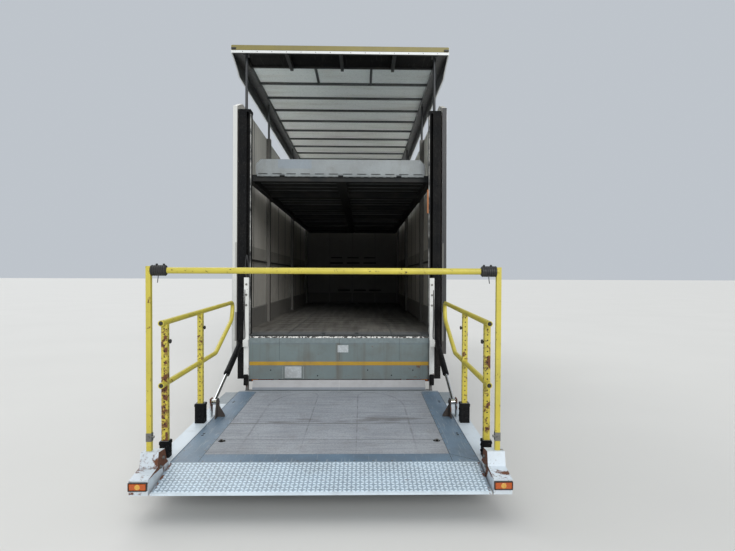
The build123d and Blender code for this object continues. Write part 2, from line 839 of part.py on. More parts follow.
# Platform frame of reference, tipped down towards the ramp
tilt = radians(platform_tilt)
deck_frame = Plane(
    origin=(0, at(-platform_root), hinge_z),
    x_dir=(1, 0, 0),
    z_dir=(0, -sin(tilt), cos(tilt)),
)


def on_deck(x, v, w):
    """Truck coordinates of a point given in the platform's own frame."""
    return deck_frame.from_local_coords(Vector(x, v, w))


def deck_box(x, v, w, mode=Mode.ADD):
    """Bar square to the platform, between pairs of faces in its own frame."""
    place = on_deck((x[0] + x[1]) / 2, (v[0] + v[1]) / 2, (w[0] + w[1]) / 2)
    with Locations(Location(place, (platform_tilt, 0, 0))):
        Box(x[1] - x[0], v[1] - v[0], w[1] - w[0], mode=mode)


def deck_side(x):
    """Plane across the platform at x: sketch v and w."""
    return Plane(origin=on_deck(x, 0, 0), x_dir=deck_frame.y_dir, z_dir=(1, 0, 0))


def deck_pair(x, v, w, mode=Mode.ADD):
    """The same bar on both sides of the platform."""
    deck_box(x, v, w, mode)
    deck_box((-x[1], -x[0]), v, w, mode)


# Lift carriage: sliders, arms, cross-tube and bridging plate
with BuildPart() as lift_carriage:
    bar((arm_inner, arm_outer), (-arm_gap - arm_depth, -arm_gap), (arm_foot, arm_top))
    for slider_z in slider_table:
        neck = (slot_inner + 5, slot_outer - 5)
        bar(neck, (-arm_gap, column_wall + 4), slider_z)
        bar(
            (column_inner + column_wall + 0.4, column_outer - column_wall - 5),
            (column_wall + 0.4, 85),
            slider_z,
        )
    # Hinge ear of the arm and cylinder bracket beside it
    with BuildSketch(Plane.YZ.offset(arm_inner)):
        with BuildLine():
            Polyline(
                (at(-arm_gap - arm_depth), 520),
                (at(-arm_gap), 520),
                (at(-arm_gap), hinge_z - 30),
                (at(-platform_root), hinge_z - 30),
            )
            ThreePointArc(
                (at(-platform_root), hinge_z - 30),
                (at(-platform_root - 30), hinge_z),
                (at(-platform_root), hinge_z + 30),
            )
            Line((at(-platform_root), hinge_z + 30), (at(-arm_gap - arm_depth), hinge_z + 70))
            Line((at(-arm_gap - arm_depth), hinge_z + 70), (at(-arm_gap - arm_depth), 520))
        make_face()
    extrude(amount=30)
    bracket_x = (arm_inner, cylinder_x - barrel_radius - 3)
    bar(bracket_x, (-80, -arm_gap), (cylinder_head_z - 40, cylinder_head_z + 40))
    mirror(about=Plane.YZ)
    for side in (-1, 1):
        rod_between(
            (side * arm_inner, at(cylinder_head_d), cylinder_head_z),
            (side * (cylinder_x + cylinder_width / 2), at(cylinder_head_d), cylinder_head_z),
            pin_radius,
        )
        rod_between(
            (side * (arm_inner - 50), at(-platform_root), hinge_z),
            (side * (arm_inner + 60), at(-platform_root), hinge_z),
            pin_radius,
        )
    bar((-arm_inner, arm_inner), (-36, -arm_gap), (hinge_z - 30, hinge_z + 27))
    # Bridging flap leaning from under the threshold down to the deck
    with BuildSketch(Plane.YZ.offset(-1000)):
        with BuildLine():
            Polyline(
                (at(-arm_gap), hinge_z + 27),
                (at(-84), hinge_z + 34),
                (at(-84), hinge_z + 40),
                (at(-arm_gap - 12), hinge_z + 138),
                (at(-arm_gap), hinge_z + 138),
                close=True,
            )
        make_face()
    extrude(amount=2000)

# Platform frame: beams, ribs, side plates, sills and corner brackets
deck_w = deck_rise
beam_w = (-frame_drop, deck_w - board_thickness)
frame_end = -(platform_length - ramp_length)
with BuildPart() as lift_platform:
    deck_pair((board_half, side_plate_half), (frame_end, -root_gap), (-frame_drop, deck_w))
    for beam_x in (-654, -327, 0, 327, 654):
        deck_box((beam_x - 25, beam_x + 25), (frame_end + band_length, -root_gap - 20), beam_w)
    for rib_v in (-root_gap - 60, -800, -1450):
        deck_box((-board_half, board_half), (rib_v - 25, rib_v + 25), beam_w)
    deck_box((-board_half, board_half), (frame_end, frame_end + band_length), (-frame_drop, deck_w))
    deck_box((-board_half, board_half), (-root_gap - 35, -root_gap), (-frame_drop, deck_w))
    # Hinge eyes round the carriage pins
    deck_pair((arm_inner - 44, arm_inner - 6), (-root_gap - 40, 18), (-24, 24))
    for side in (-1, 1):
        bore_start = on_deck(side * (arm_inner - 60), 0, 0)
        bore_end = on_deck(side * (arm_inner + 10), 0, 0)
        rod_between(bore_start, bore_end, pin_radius + running_gap, Mode.SUBTRACT)
    # Sills with the rail sockets
    deck_pair((side_plate_half, sill_half), (frame_end, -120), (-frame_drop, deck_w + 4))
    for post_v, socket_half, socket_top in ((mid_post_v, 40, 184), (near_post_v, 32, 130)):
        socket_x = (rail_x - socket_half, rail_x + socket_half)
        deck_pair(socket_x, (post_v - socket_half, post_v + socket_half), (deck_w + 4, deck_w + socket_top))
        deck_pair(
            (rail_x - rail_post / 2 - 0.4, rail_x + rail_post / 2 + 0.4),
            (post_v - rail_post / 2 - 0.4, post_v + rail_post / 2 + 0.4),
            (deck_w + 4, deck_w + 190),
            Mode.SUBTRACT,
        )
    # Ears for the cylinder eyes
    ear_x = cylinder_x + cylinder_width / 2 + 1
    ear_v = (cylinder_eye_v - 40, cylinder_eye_v + 40)
    deck_pair((ear_x, ear_x + 10), ear_v, (deck_w, cylinder_eye_w + 35))
    # Corner brackets beside the ramp, holding the portal posts
    with BuildSketch(deck_side(side_plate_half + 10)):
        with BuildLine():
            Polyline(
                (frame_end, -frame_drop),
                (frame_end, deck_w + 4),
                (frame_end - 45, deck_w + 40),
                (portal_v + 70, deck_w + 130),
                (portal_v - 50, deck_w + 142),
                (portal_v - 75, deck_w + 45),
                (-platform_length, deck_w + 22),
                (-platform_length, -frame_drop),
                close=True,
            )
        make_face()
    extrude(amount=sill_half - side_plate_half - 10)
    portal_fit = portal_post / 2 + running_gap
    socket_x = (portal_x - portal_fit, portal_x + portal_fit)
    socket_v = (portal_v - portal_fit, portal_v + portal_fit)
    deck_box(socket_x, socket_v, (deck_w + 20, deck_w + portal_base), Mode.SUBTRACT)
    mirror(about=Plane.YZ)

# Deck boards with joint lines and two lashing holes
board_rows = 4
board_x = (-board_half + 1, board_half - 1)
board_start = -root_gap - 35
board_run = (board_start - frame_end - band_length) / board_rows
board_foot = deck_w - board_thickness
with BuildPart() as platform_board:
    for row in range(board_rows):
        row_start = board_start - row * board_run
        deck_box(board_x, (row_start - board_run + 3, row_start), (board_foot, deck_w))
    deck_box(board_x, (frame_end + band_length, board_start), (board_foot, deck_w - 3))
    for hole_x in (-lashing_hole_x, lashing_hole_x):
        place = on_deck(hole_x, frame_end + band_length + lashing_hole_v, deck_w)
        with Locations(Location(place, (platform_tilt, 0, 0))):
            Cylinder(lashing_hole_radius, 60, mode=Mode.SUBTRACT)

# Ramp along the platform's rear edge
with BuildPart() as ramp_plate:
    with BuildSketch(deck_side(-side_plate_half + 4)):
        with BuildLine():
            Polyline(
                (frame_end, deck_w),
                (-platform_length, deck_w - ramp_fall),
                (-platform_length, -frame_drop),
                (frame_end, -frame_drop),
                close=True,
            )
        make_face()
    extrude(amount=2 * side_plate_half - 8)

with BuildPart() as platform_lamps:
    for lamp_side in (-1, 1):
        lamp_x = lamp_side * (sill_half - lamp_width / 2)
        place = on_deck(lamp_x, -platform_length - lamp_reach / 2, deck_w - 16)
        with Locations(Location(place, (platform_tilt, 0, 0))):
            Box(lamp_width, lamp_reach, lamp_height)

# Guard rails: posts in the sockets, bent pipe loop between them
with BuildPart() as guard_rails:
    for side in (-1, 1):
        x = side * rail_x
        for post_v in (mid_post_v, near_post_v):
            spread = (x - rail_post / 2, x + rail_post / 2)
            post_depth = (post_v - rail_post / 2, post_v + rail_post / 2)
            deck_box(spread, post_depth, (deck_w + 4, deck_w + rail_height - 12))
        loop = [
            on_deck(x, rail_rear_v, deck_w + mid_rail_height),
            on_deck(x, rail_front_v - 750, deck_w + mid_rail_height),
            on_deck(x, rail_front_v - 60, deck_w + rail_height - 190),
            on_deck(x, rail_front_v, deck_w + rail_height),
            on_deck(x, rail_rear_v, deck_w + rail_height),
        ]
        pipe(loop, (160, 120, 60), rail_pipe)

# Portal: two tall posts joined by a cross-bar in couplers
with BuildPart() as guard_portal:
    for side in (-1, 1):
        x = side * portal_x
        spread = (x - portal_post / 2, x + portal_post / 2)
        post_v = (portal_v - portal_post / 2, portal_v + portal_post / 2)
        deck_box(spread, post_v, (deck_w + 20 + running_gap, deck_w + portal_top))
        start = on_deck(x - side * portal_post / 2, portal_v, deck_w + portal_top - 30)
        end = on_deck(x - side * (portal_post / 2 + coupler_length), portal_v, deck_w + portal_top - 30)
        rod_between(start, end, coupler_radius)
    bar_start = on_deck(-portal_x, portal_v, deck_w + portal_top - 30)
    bar_end = on_deck(portal_x, portal_v, deck_w + portal_top - 30)
    rod_between(bar_start, bar_end, rail_pipe)

# Tilt cylinders: barrel hung on the carriage, rod reaching to the platform's ear
head = Vector(0, at(cylinder_head_d), cylinder_head_z)
eye = on_deck(0, cylinder_eye_v, cylinder_eye_w)
stroke_line = (eye - head).normalized()
reach = (eye - head).length
with BuildPart() as tilt_barrels:
    for side in (-1, 1):
        middle = head + Vector(side * cylinder_x, 0, 0)
        across = Vector(side * cylinder_width / 2, 0, 0)
        rod_between(middle, middle + stroke_line * barrel_length, barrel_radius)
        rod_between(middle - across, middle + across, eye_radius)
        rod_between(middle - across * 1.5, middle + across * 1.5, pin_radius + running_gap, Mode.SUBTRACT)
        rod_between(
            middle + stroke_line * 120,
            middle + stroke_line * (barrel_length + 5),
            rod_radius + running_gap,
            Mode.SUBTRACT,
        )
with BuildPart() as tilt_rods:
    for side in (-1, 1):
        shift = Vector(side * cylinder_x, 0, 0)
        across = Vector(side * cylinder_width / 2, 0, 0)
        rod_between(head + shift + stroke_line * 220, head + shift + stroke_line * (reach - 10), rod_radius)
        rod_between(eye + shift - across, eye + shift + across, 26)

# Cab form: side profile extruded across the cab
with BuildPart() as cab_form:
    with BuildSketch(Plane.YZ.offset(-cab_half)):
        with BuildLine():
            arch_foot = (arch_radius**2 - (cab_foot - tyre_radius) ** 2) ** 0.5
            arch_shoulder_y = at(front_axle_d + arch_radius * sin(radians(35)))
            arch_shoulder_z = tyre_radius + arch_radius * cos(radians(35))
            Polyline(
                (at(cab_back), cab_back_foot),
                (at(cab_back), 3060),
                (at(aft(1030)), 3240),
                (at(aft(470)), 3020),
                (at(aft(290)), 2580),
                (at(cab_front - 60), 1720),
                (at(cab_front), 1600),
                (at(cab_front), cab_foot),
                (at(front_axle_d + arch_foot), cab_foot),
            )
            ThreePointArc(
                (at(front_axle_d + arch_foot), cab_foot),
                (arch_shoulder_y, arch_shoulder_z),
                (at(front_axle_d), cab_back_foot),
            )
            Line((at(front_axle_d), cab_back_foot), (at(cab_back), cab_back_foot))
        make_face()
    extrude(amount=2 * cab_half)
    side_edges = cab_form.edges().filter_by(lambda e: abs(abs(e.center().X) - cab_half) < 1)
    soft_edges = side_edges.filter_by(
        lambda e: e.center().Z > 1500 or e.center().Y > at(cab_front) - 5
    )
    fillet(soft_edges, cab_edge_radius)

with BuildPart() as cab_hollow:
    with BuildSketch(Plane.YZ.offset(-cab_half + cab_wall)):
        with BuildLine():
            Polyline(
                (at(cab_back + cab_wall), cab_floor),
                (at(cab_back + cab_wall), 3015),
                (at(aft(1030)), 3188),
                (at(aft(505)), 2980),
                (at(aft(340)), 2570),
                (at(cab_front - 115), 1700),
                (at(cab_front - cab_wall), 1590),
                (at(cab_front - cab_wall), cab_floor),
                close=True,
            )
        make_face()
    extrude(amount=2 * (cab_half - cab_wall))

door_outline = ((aft(1200), 1120), (aft(230), 1120), (aft(230), 1700), (aft(460), 2520), (aft(1200), 2520))
window_outline = ((aft(1100), 1720), (aft(300), 1720), (aft(490), 2430), (aft(1100), 2430))


def side_prism(outline, grow, radius, mode=Mode.ADD):
    """Prism right through the cab from side to side, its outline grown all round."""
    with BuildSketch(Plane.YZ.offset(-cab_half - 20)) as section:
        with BuildLine():
            Polyline(*[(at(d), z) for d, z in outline], close=True)
        make_face()
        fillet(vertices(), radius)
        if grow:
            offset(amount=grow)
    extrude(section.sketch, amount=2 * cab_half + 40, mode=mode)


screen_foot = Vector(0, at(cab_front - 60), 1720)
screen_top = Vector(0, at(aft(290)), 2580)
screen_plane = Plane(
    origin=(screen_foot + screen_top) / 2,
    x_dir=(1, 0, 0),
    z_dir=(0, screen_top.Z - screen_foot.Z, screen_foot.Y - screen_top.Y),
)
screen_rise = (screen_top - screen_foot).length - 110
screen_half = 1080
with BuildPart() as cab_shell:
    add(cab_form.part)
    add(cab_hollow.part, mode=Mode.SUBTRACT)
    # Room under the floor for engine, frame and wheels
    under_x = (-cab_half + cab_wall, cab_half - cab_wall)
    under_d = (cab_back - 10, cab_front - cab_wall)
    bar(under_x, under_d, (0, cab_floor - cab_floor_depth), Mode.SUBTRACT)
    side_prism(door_outline, door_gap, 40, Mode.SUBTRACT)
    with BuildSketch(screen_plane):
        RectangleRounded(2 * screen_half, screen_rise, 60)
    extrude(amount=120, both=True, mode=Mode.SUBTRACT)
    # Step wells under the doors
    for tread_z in (700, 890):
        pair((cab_half - 60, cab_half + 1), (aft(730), aft(250)), (tread_z, tread_z + 150), Mode.SUBTRACT)
        pair((cab_half - 240, cab_half - 10), (aft(750), aft(230)), (tread_z - 22, tread_z))
    pair((cab_half - 250, cab_half - 230), (aft(750), aft(230)), (678, cab_floor - cab_floor_depth))
    # Pivot ears
    for side in (-1, 1):
        ear = sorted((side * (rail_half + 12), side * (rail_half + 52)))
        bar(ear, (pivot_d - 38, cab_front - 5), (pivot_z, cab_floor - cab_floor_depth))
        with BuildSketch(Plane.YZ.offset(ear[0])):
            with Locations((at(pivot_d), pivot_z)):
                Circle(38)
        extrude(amount=40)
        with BuildSketch(Plane.YZ.offset(ear[0] - 5)):
            with Locations((at(pivot_d), pivot_z)):
                Circle(pivot_radius + running_gap)
        extrude(amount=50, mode=Mode.SUBTRACT)
    # Door hinge knuckles
    for side in (-1, 1):
        for knuckle_z in (1250, 1600):
            axis_x = side * (cab_half + door_hinge_out)
            rod_between(
                (axis_x, at(aft(226)), knuckle_z),
                (axis_x, at(aft(226)), knuckle_z + 45),
                10,
            )
            leaf = sorted((side * (cab_half - 5), side * (cab_half + door_hinge_out)))
            bar(leaf, (aft(222), aft(190)), (knuckle_z, knuckle_z + 45))

doors = {}
door_glasses = {}
for name, side in for_side.items():
    skin = sorted((side * (cab_half - cab_wall), side * (cab_half + 5)))
    with BuildPart() as door:
        side_prism(door_outline, 0, 40)
        add(cab_form.part, mode=Mode.INTERSECT)
        bar(skin, (aft(1630), aft(-70)), (900, 3000), Mode.INTERSECT)
        add(cab_hollow.part, mode=Mode.SUBTRACT)
        side_prism(window_outline, 0, 30, Mode.SUBTRACT)
        for knuckle_z in (1250, 1600):
            axis_x = side * (cab_half + door_hinge_out)
            rod_between(
                (axis_x, at(aft(226)), knuckle_z + 45.4),
                (axis_x, at(aft(226)), knuckle_z + 90),
                10,
            )
            leaf = sorted((side * (cab_half - 5), side * (cab_half + door_hinge_out)))
            bar(leaf, (aft(260), aft(231)), (knuckle_z + 45.4, knuckle_z + 90))
            web = sorted((side * (cab_half + 4), side * (cab_half + door_hinge_out)))
            bar(web, (aft(232), aft(226)), (knuckle_z + 45.4, knuckle_z + 90))
        bar(sorted((side * (cab_half - 2), side * (cab_half + 28))), (aft(1160), aft(1030)), (1560, 1590))
    doors[name] = door
    with BuildPart() as glass:
        side_prism(window_outline, -0.4, 30)
        pane = sorted((side * (cab_half - 24), side * (cab_half - 18)))
        bar(pane, (aft(1630), aft(-70)), (900, 3000), Mode.INTERSECT)
    door_glasses[name] = glass

with BuildPart() as windscreen:
    with BuildSketch(screen_plane.offset(-22)):
        RectangleRounded(2 * screen_half - 0.8, screen_rise - 0.8, 60)
    extrude(amount=10)

# Grille panel with air slots
with BuildPart() as grille_panel:
    with BuildSketch(cross_plane(cab_front + 22)):
        with Locations((0, 1160)):
            RectangleRounded(1560, 680, 60)
        with Locations((0, 1120)):
            with GridLocations(0, 90, 1, 6):
                SlotOverall(1360, 50, mode=Mode.SUBTRACT)
    extrude(amount=22)

# Bumper wrapped round the front, with lamp openings
with BuildPart() as front_bumper:
    with BuildSketch(Plane.XY.offset(bumper_foot)):
        with Locations((0, at(front_end - 150))):
            RectangleRounded(2 * cab_half, 300, 120)
        with Locations((0, at(front_end - 150 - 40))):
            RectangleRounded(2 * cab_half - 80, 300, 90, mode=Mode.SUBTRACT)
        with Locations((0, at(front_end - 400))):
            Rectangle(2 * cab_half + 10, 300, mode=Mode.SUBTRACT)
    extrude(amount=bumper_top - bumper_foot)
    for side in (-1, 1):
        with BuildSketch(cross_plane(front_end + 5)):
            with Locations((side * 870, 480)):
                RectangleRounded(360, 150, 30)
        extrude(amount=60, mode=Mode.SUBTRACT)
    with BuildSketch(cross_plane(front_end + 5)):
        with Locations((0, 380)):
            RectangleRounded(700, 90, 25)
    extrude(amount=60, mode=Mode.SUBTRACT)

with BuildPart() as headlamps:
    for side in (-1, 1):
        with BuildSketch(cross_plane(front_end - 6)):
            with Locations((side * 870, 480)):
                RectangleRounded(359.2, 149.2, 29.6)
        extrude(amount=60)

# Mirrors on arms ahead of the doors
with BuildPart() as mirrors:
    with BuildSketch(cross_plane(aft(100))):
        with Locations((1370, 2110)):
            RectangleRounded(200, 560, 60)
    extrude(amount=90)
    pair((cab_half, 1300), (aft(170), aft(130)), (1880, 1910))
    fillet(mirrors.faces().sort_by(Axis.Y)[-1].edges(), 25)
    mirror(mirrors.part, about=Plane.YZ)

# Seats and dashboard
seat_half = 250
seat_outline = (
    (aft(870), 1600), (aft(860), 1480), (aft(1400), 1460), (aft(1520), 1500),
    (aft(1610), 2260), (aft(1490), 2280), (aft(1390), 1610),
)
with BuildPart() as seats:
    for seat_x in (-620, 620):
        with BuildSketch(Plane.YZ.offset(seat_x - seat_half)):
            with BuildLine():
                Polyline(*[(at(d), z) for d, z in seat_outline], close=True)
            make_face()
            fillet(vertices(), 35)
        extrude(amount=2 * seat_half)
        bar((seat_x - 160, seat_x + 160), (aft(1350), aft(980)), (cab_floor, 1470))

with BuildPart() as dashboard:
    with BuildSketch(Plane.YZ.offset(-cab_half + cab_wall + 1)):
        with BuildLine():
            Polyline(
                (at(cab_front - cab_wall), 1350),
                (at(cab_front - cab_wall), 1580),
                (at(cab_front - 130), 1650),
                (at(aft(400)), 1620),
                (at(aft(460)), 1480),
                (at(aft(300)), 1350),
                close=True,
            )
        make_face()
    extrude(amount=2 * (cab_half - cab_wall) - 2)
    wheel_plane = Plane(origin=(-620, at(aft(640)), 1640), x_dir=(1, 0, 0), z_dir=(0, -0.55, 0.83))
    with BuildSketch(wheel_plane):
        Circle(220)
        Circle(190, mode=Mode.SUBTRACT)
        Rectangle(390, 30)
        Circle(45)
    extrude(amount=24)
    rod_between(wheel_plane.origin, (-620, at(aft(370)), 1500), 28)

# Every sub-part under its own name
nodes = {
    "chassis_frame": chassis_frame,
    "suspension": suspension,
    "engine_block": engine_block,
    "fuel_tank": fuel_tank,
    "battery_box": battery_box,
    "axles": axles,
    "propeller_shaft": propeller_shaft,
    "left_knuckle": knuckles["left"],
    "right_knuckle": knuckles["right"],
    "track_rod": track_rod,
    **wheel_nodes,
    "rear_mudguards": mudguards,
    "side_guards": side_guards,
    "box_floor": box_floor,
    "box_walls": box_walls,
    "box_front_wall": box_front_wall,
    "guide_posts": guide_posts,
    "lift_columns": lift_columns,
    "rear_panel": rear_panel,
    "tail_lamps": tail_lamps,
    "roof_frame": roof_frame,
    "roof_panel": roof_panel,
    "upper_deck": upper_deck,
    "deck_flap": deck_flap,
    "lift_carriage": lift_carriage,
    "lift_platform": lift_platform,
    "platform_board": platform_board,
    "ramp_plate": ramp_plate,
    "platform_lamps": platform_lamps,
    "guard_rails": guard_rails,
    "guard_portal": guard_portal,
    "tilt_barrels": tilt_barrels,
    "tilt_rods": tilt_rods,
    "cab_shell": cab_shell,
    "cab_door_left": doors["left"],
    "cab_door_right": doors["right"],
    "door_glass_left": door_glasses["left"],
    "door_glass_right": door_glasses["right"],
    "windscreen": windscreen,
    "grille_panel": grille_panel,
    "front_bumper": front_bumper,
    "headlamps": headlamps,
    "mirrors": mirrors,
    "seats": seats,
    "dashboard": dashboard,
}
for name, piece in nodes.items():
    piece.part.label = name
    export_step(piece.part, f"parts/{name}.step")
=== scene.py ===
from math import atan2, cos, pi, radians, sin

import bmesh
import bpy
from mathutils import Matrix, Vector


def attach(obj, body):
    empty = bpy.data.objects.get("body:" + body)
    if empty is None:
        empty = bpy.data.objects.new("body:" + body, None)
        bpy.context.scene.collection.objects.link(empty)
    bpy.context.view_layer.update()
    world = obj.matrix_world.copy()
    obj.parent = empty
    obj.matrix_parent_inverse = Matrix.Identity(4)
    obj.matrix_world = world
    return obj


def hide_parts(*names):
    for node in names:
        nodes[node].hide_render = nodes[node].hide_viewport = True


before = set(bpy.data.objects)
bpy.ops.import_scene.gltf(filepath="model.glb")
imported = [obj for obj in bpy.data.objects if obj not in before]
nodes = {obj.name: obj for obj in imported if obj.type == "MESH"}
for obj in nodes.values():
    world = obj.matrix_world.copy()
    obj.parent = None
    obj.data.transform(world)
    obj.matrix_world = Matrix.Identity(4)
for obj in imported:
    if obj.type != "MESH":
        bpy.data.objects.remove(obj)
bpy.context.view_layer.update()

SIDES = (-1, 1)
HERE = Matrix.Identity(4)
# Places along the truck are given as d, metres ahead of the columns' rear faces
REAR_Y = -3.945
# The platform has its own frame: x across, v ahead of its hinge, w up
HINGE = (REAR_Y - 0.06, 0.31)


def at(d):
    return REAR_Y + d


def moved(x, y, z):
    return Matrix.Translation((x, y, z))


def turned(angle, axis):
    return Matrix.Rotation(angle, 4, axis)


def around(middle, half):
    """Range that reaches half a width to both sides of its middle."""
    return middle - half, middle + half


DECK = moved(0, *HINGE) @ turned(radians(1.35), "X")

scene = bpy.context.scene


def linked(name, data):
    made = bpy.data.objects.new(name, data)
    scene.collection.objects.link(made)
    return made


# Materials

mats = {}


def rgb(code):
    """Linear colour from a web colour code. A colour or a socket stays as it is."""
    if not isinstance(code, str):
        return code
    parts = [int(code[i : i + 2], 16) / 255 for i in (0, 2, 4)]
    return [p / 12.92 if p <= 0.04045 else ((p + 0.055) / 1.055) ** 2.4 for p in parts] + [1]


def scaled(colour, factor):
    return [min(c * factor, 1) for c in colour[:3]] + [1]


class Graph:
    """A short way to write a material's nodes. Its colour is laid on coat by coat."""

    def __init__(self, name, base):
        self.material = bpy.data.materials.new(name)
        self.material.use_nodes = True
        self.tree = self.material.node_tree
        self.tree.nodes.clear()
        self.coord = self.node("TexCoord").outputs["Object"]
        self.colour = rgb(base)
        mats[name] = self.material

    def node(self, kind, inputs=(), **settings):
        made = self.tree.nodes.new("ShaderNode" + kind)
        for key, value in settings.items():
            setattr(made, key, value)
        for key, value in dict(inputs).items():
            self.plug(made.inputs[key], value)
        return made

    def plug(self, socket, value):
        if isinstance(value, bpy.types.NodeSocket):
            self.tree.links.new(value, socket)
        else:
            socket.default_value = value

    def place(self, stretch=(1, 1, 1)):
        return self.node("Mapping", {"Vector": self.coord, "Scale": stretch}).outputs["Vector"]

    def noise(self, scale, detail=4, rough=0.55, stretch=(1, 1, 1), distortion=0.0):
        inputs = {"Scale": scale, "Detail": detail, "Roughness": rough, "Distortion": distortion}
        return self.node("TexNoise", {"Vector": self.place(stretch), **inputs}).outputs["Fac"]

    def cells(self, scale):
        return self.node("TexVoronoi", {"Vector": self.place(), "Scale": scale}).outputs["Distance"]

    def waves(self, scale, distortion=0.0, **settings):
        inputs = {"Vector": self.coord, "Scale": scale, "Distortion": distortion, "Detail": 2}
        return self.node("TexWave", inputs, **settings).outputs["Fac"]

    def span(self, value, low, high, to_low=0.0, to_high=1.0):
        inputs = {"Value": value, "From Min": low, "From Max": high, "To Min": to_low, "To Max": to_high}
        return self.node("MapRange", inputs).outputs["Result"]

    def math(self, kind, a, b=0.0):
        return self.node("Math", {0: a, 1: b}, operation=kind).outputs[0]

    def times(self, a, b):
        return self.math("MULTIPLY", a, b)

    def mix(self, factor, a, b):
        inputs = {"Factor": factor, 6: rgb(a), 7: rgb(b)}
        return self.node("Mix", inputs, data_type="RGBA").outputs[2]

    def paint(self, amount, over):
        """Lays another colour over what is there."""
        self.colour = self.mix(amount, self.colour, over)

    def axis(self, letter):
        return self.node("SeparateXYZ", {"Vector": self.coord}).outputs[letter]

    def reading(self, key):
        """Place along an axis (x, y, z), distance from the middle (far), or facing (nx, ny, nz, inward)."""
        if key in ("x", "y", "z"):
            return self.axis(key.upper())
        if key == "far":
            return self.math("ABSOLUTE", self.axis("X"))
        facing = self.node("TexCoord").outputs["Normal"]
        split = self.node("SeparateXYZ", {"Vector": facing})
        if key == "inward":
            return self.times(self.math("SIGN", self.axis("X")), split.outputs["X"])
        return split.outputs[key[1].upper()]

    def within(self, value, low, high, soft):
        rise = self.span(value, low - soft, low + soft)
        return self.times(rise, self.span(value, high - soft, high + soft, 1.0, 0.0))

    def area(self, limits):
        """1 where every reading lies between its limits, 0 elsewhere."""
        found = None
        for key, (low, high) in limits.items():
            soft = 0.003 if key in ("x", "y", "z", "far") else 0.1
            here = self.within(self.reading(key), low, high, soft)
            found = here if found is None else self.times(found, here)
        return found

    def surface(self, roughness, height=None, strength=0.2, distance=0.001, **sockets):
        shader = self.node("BsdfPrincipled", {"Base Color": self.colour, "Roughness": roughness})
        for key, value in sockets.items():
            self.plug(shader.inputs[key.replace("_", " ")], value)
        if height is not None:
            bump = self.node("Bump", {"Height": height, "Strength": strength, "Distance": distance})
            self.plug(shader.inputs["Normal"], bump.outputs["Normal"])
        self.node("OutputMaterial", {"Surface": shader.outputs["BSDF"]})


DIRT = rgb("5b5348")
RUST = rgb("7d4c31")
DARK_RUST = rgb("3c2417")


def finish(
    name, base, rough, shade, cloud=1.6, grime=0.25, grime_z=None, streak=0.0, rust=0.0, rust_size=7.0,
    chips=None, scratch=0.0, bump=0.12, metal=0.0, zones=(), rusty=(), **sockets,
):
    """Painted or bare surface: clouded colour, dirt near the ground, streaks, rust and chips."""
    g = Graph(name, base)
    base = g.colour
    g.paint(g.span(g.noise(cloud, 6), 0.35, 0.7), scaled(base, 1 - 2.2 * shade))
    fine = g.noise(95, 3)
    g.paint(g.span(fine, 0.3, 0.8, 0.0, 0.25), scaled(base, 0.8))
    for code, amount, limits in zones:
        g.paint(g.times(g.area(limits), amount), code)
    if streak:
        runs = g.span(g.noise(11, 4, stretch=(1, 1, 0.05)), 0.52, 0.75)
        g.paint(g.times(runs, streak), DIRT)
    if grime:
        dust = g.span(g.noise(4.5, 7, 0.65), 0.45, 0.72)
        if grime_z:
            dust = g.times(dust, g.span(g.axis("Z"), *grime_z, 1.0, 0.12))
        g.paint(g.times(dust, grime), DIRT)
    if scratch:
        lines = g.span(g.noise(30, 2, 0.4, stretch=(3, 0.15, 3)), 0.62, 0.68)
        g.paint(g.times(lines, scratch), "c9c9c4")
    roughness = g.span(fine, 0.2, 0.9, max(rough - 0.12, 0.05), min(rough + 0.18, 1))
    height = g.noise(260, 2)
    if chips:
        amount, code = chips
        g.paint(g.span(g.noise(34, 6, 0.7), 0.66 - 0.1 * amount, 0.69 - 0.1 * amount), code)
    if rust or rusty:
        level = g.noise(rust_size, 9, 0.72, distortion=0.3)
        for amount, limits in rusty:
            level = g.math("ADD", level, g.times(g.area(limits), amount))
        spots = g.span(level, 0.68 - 0.16 * rust, 0.74 - 0.16 * rust)
        g.paint(spots, g.mix(g.noise(60, 4), RUST, DARK_RUST))
        roughness = g.math("MAXIMUM", roughness, g.times(spots, 0.85))
        height = g.math("ADD", height, spots)
    g.surface(roughness, height, bump, 0.0006, Metallic=metal, **sockets)


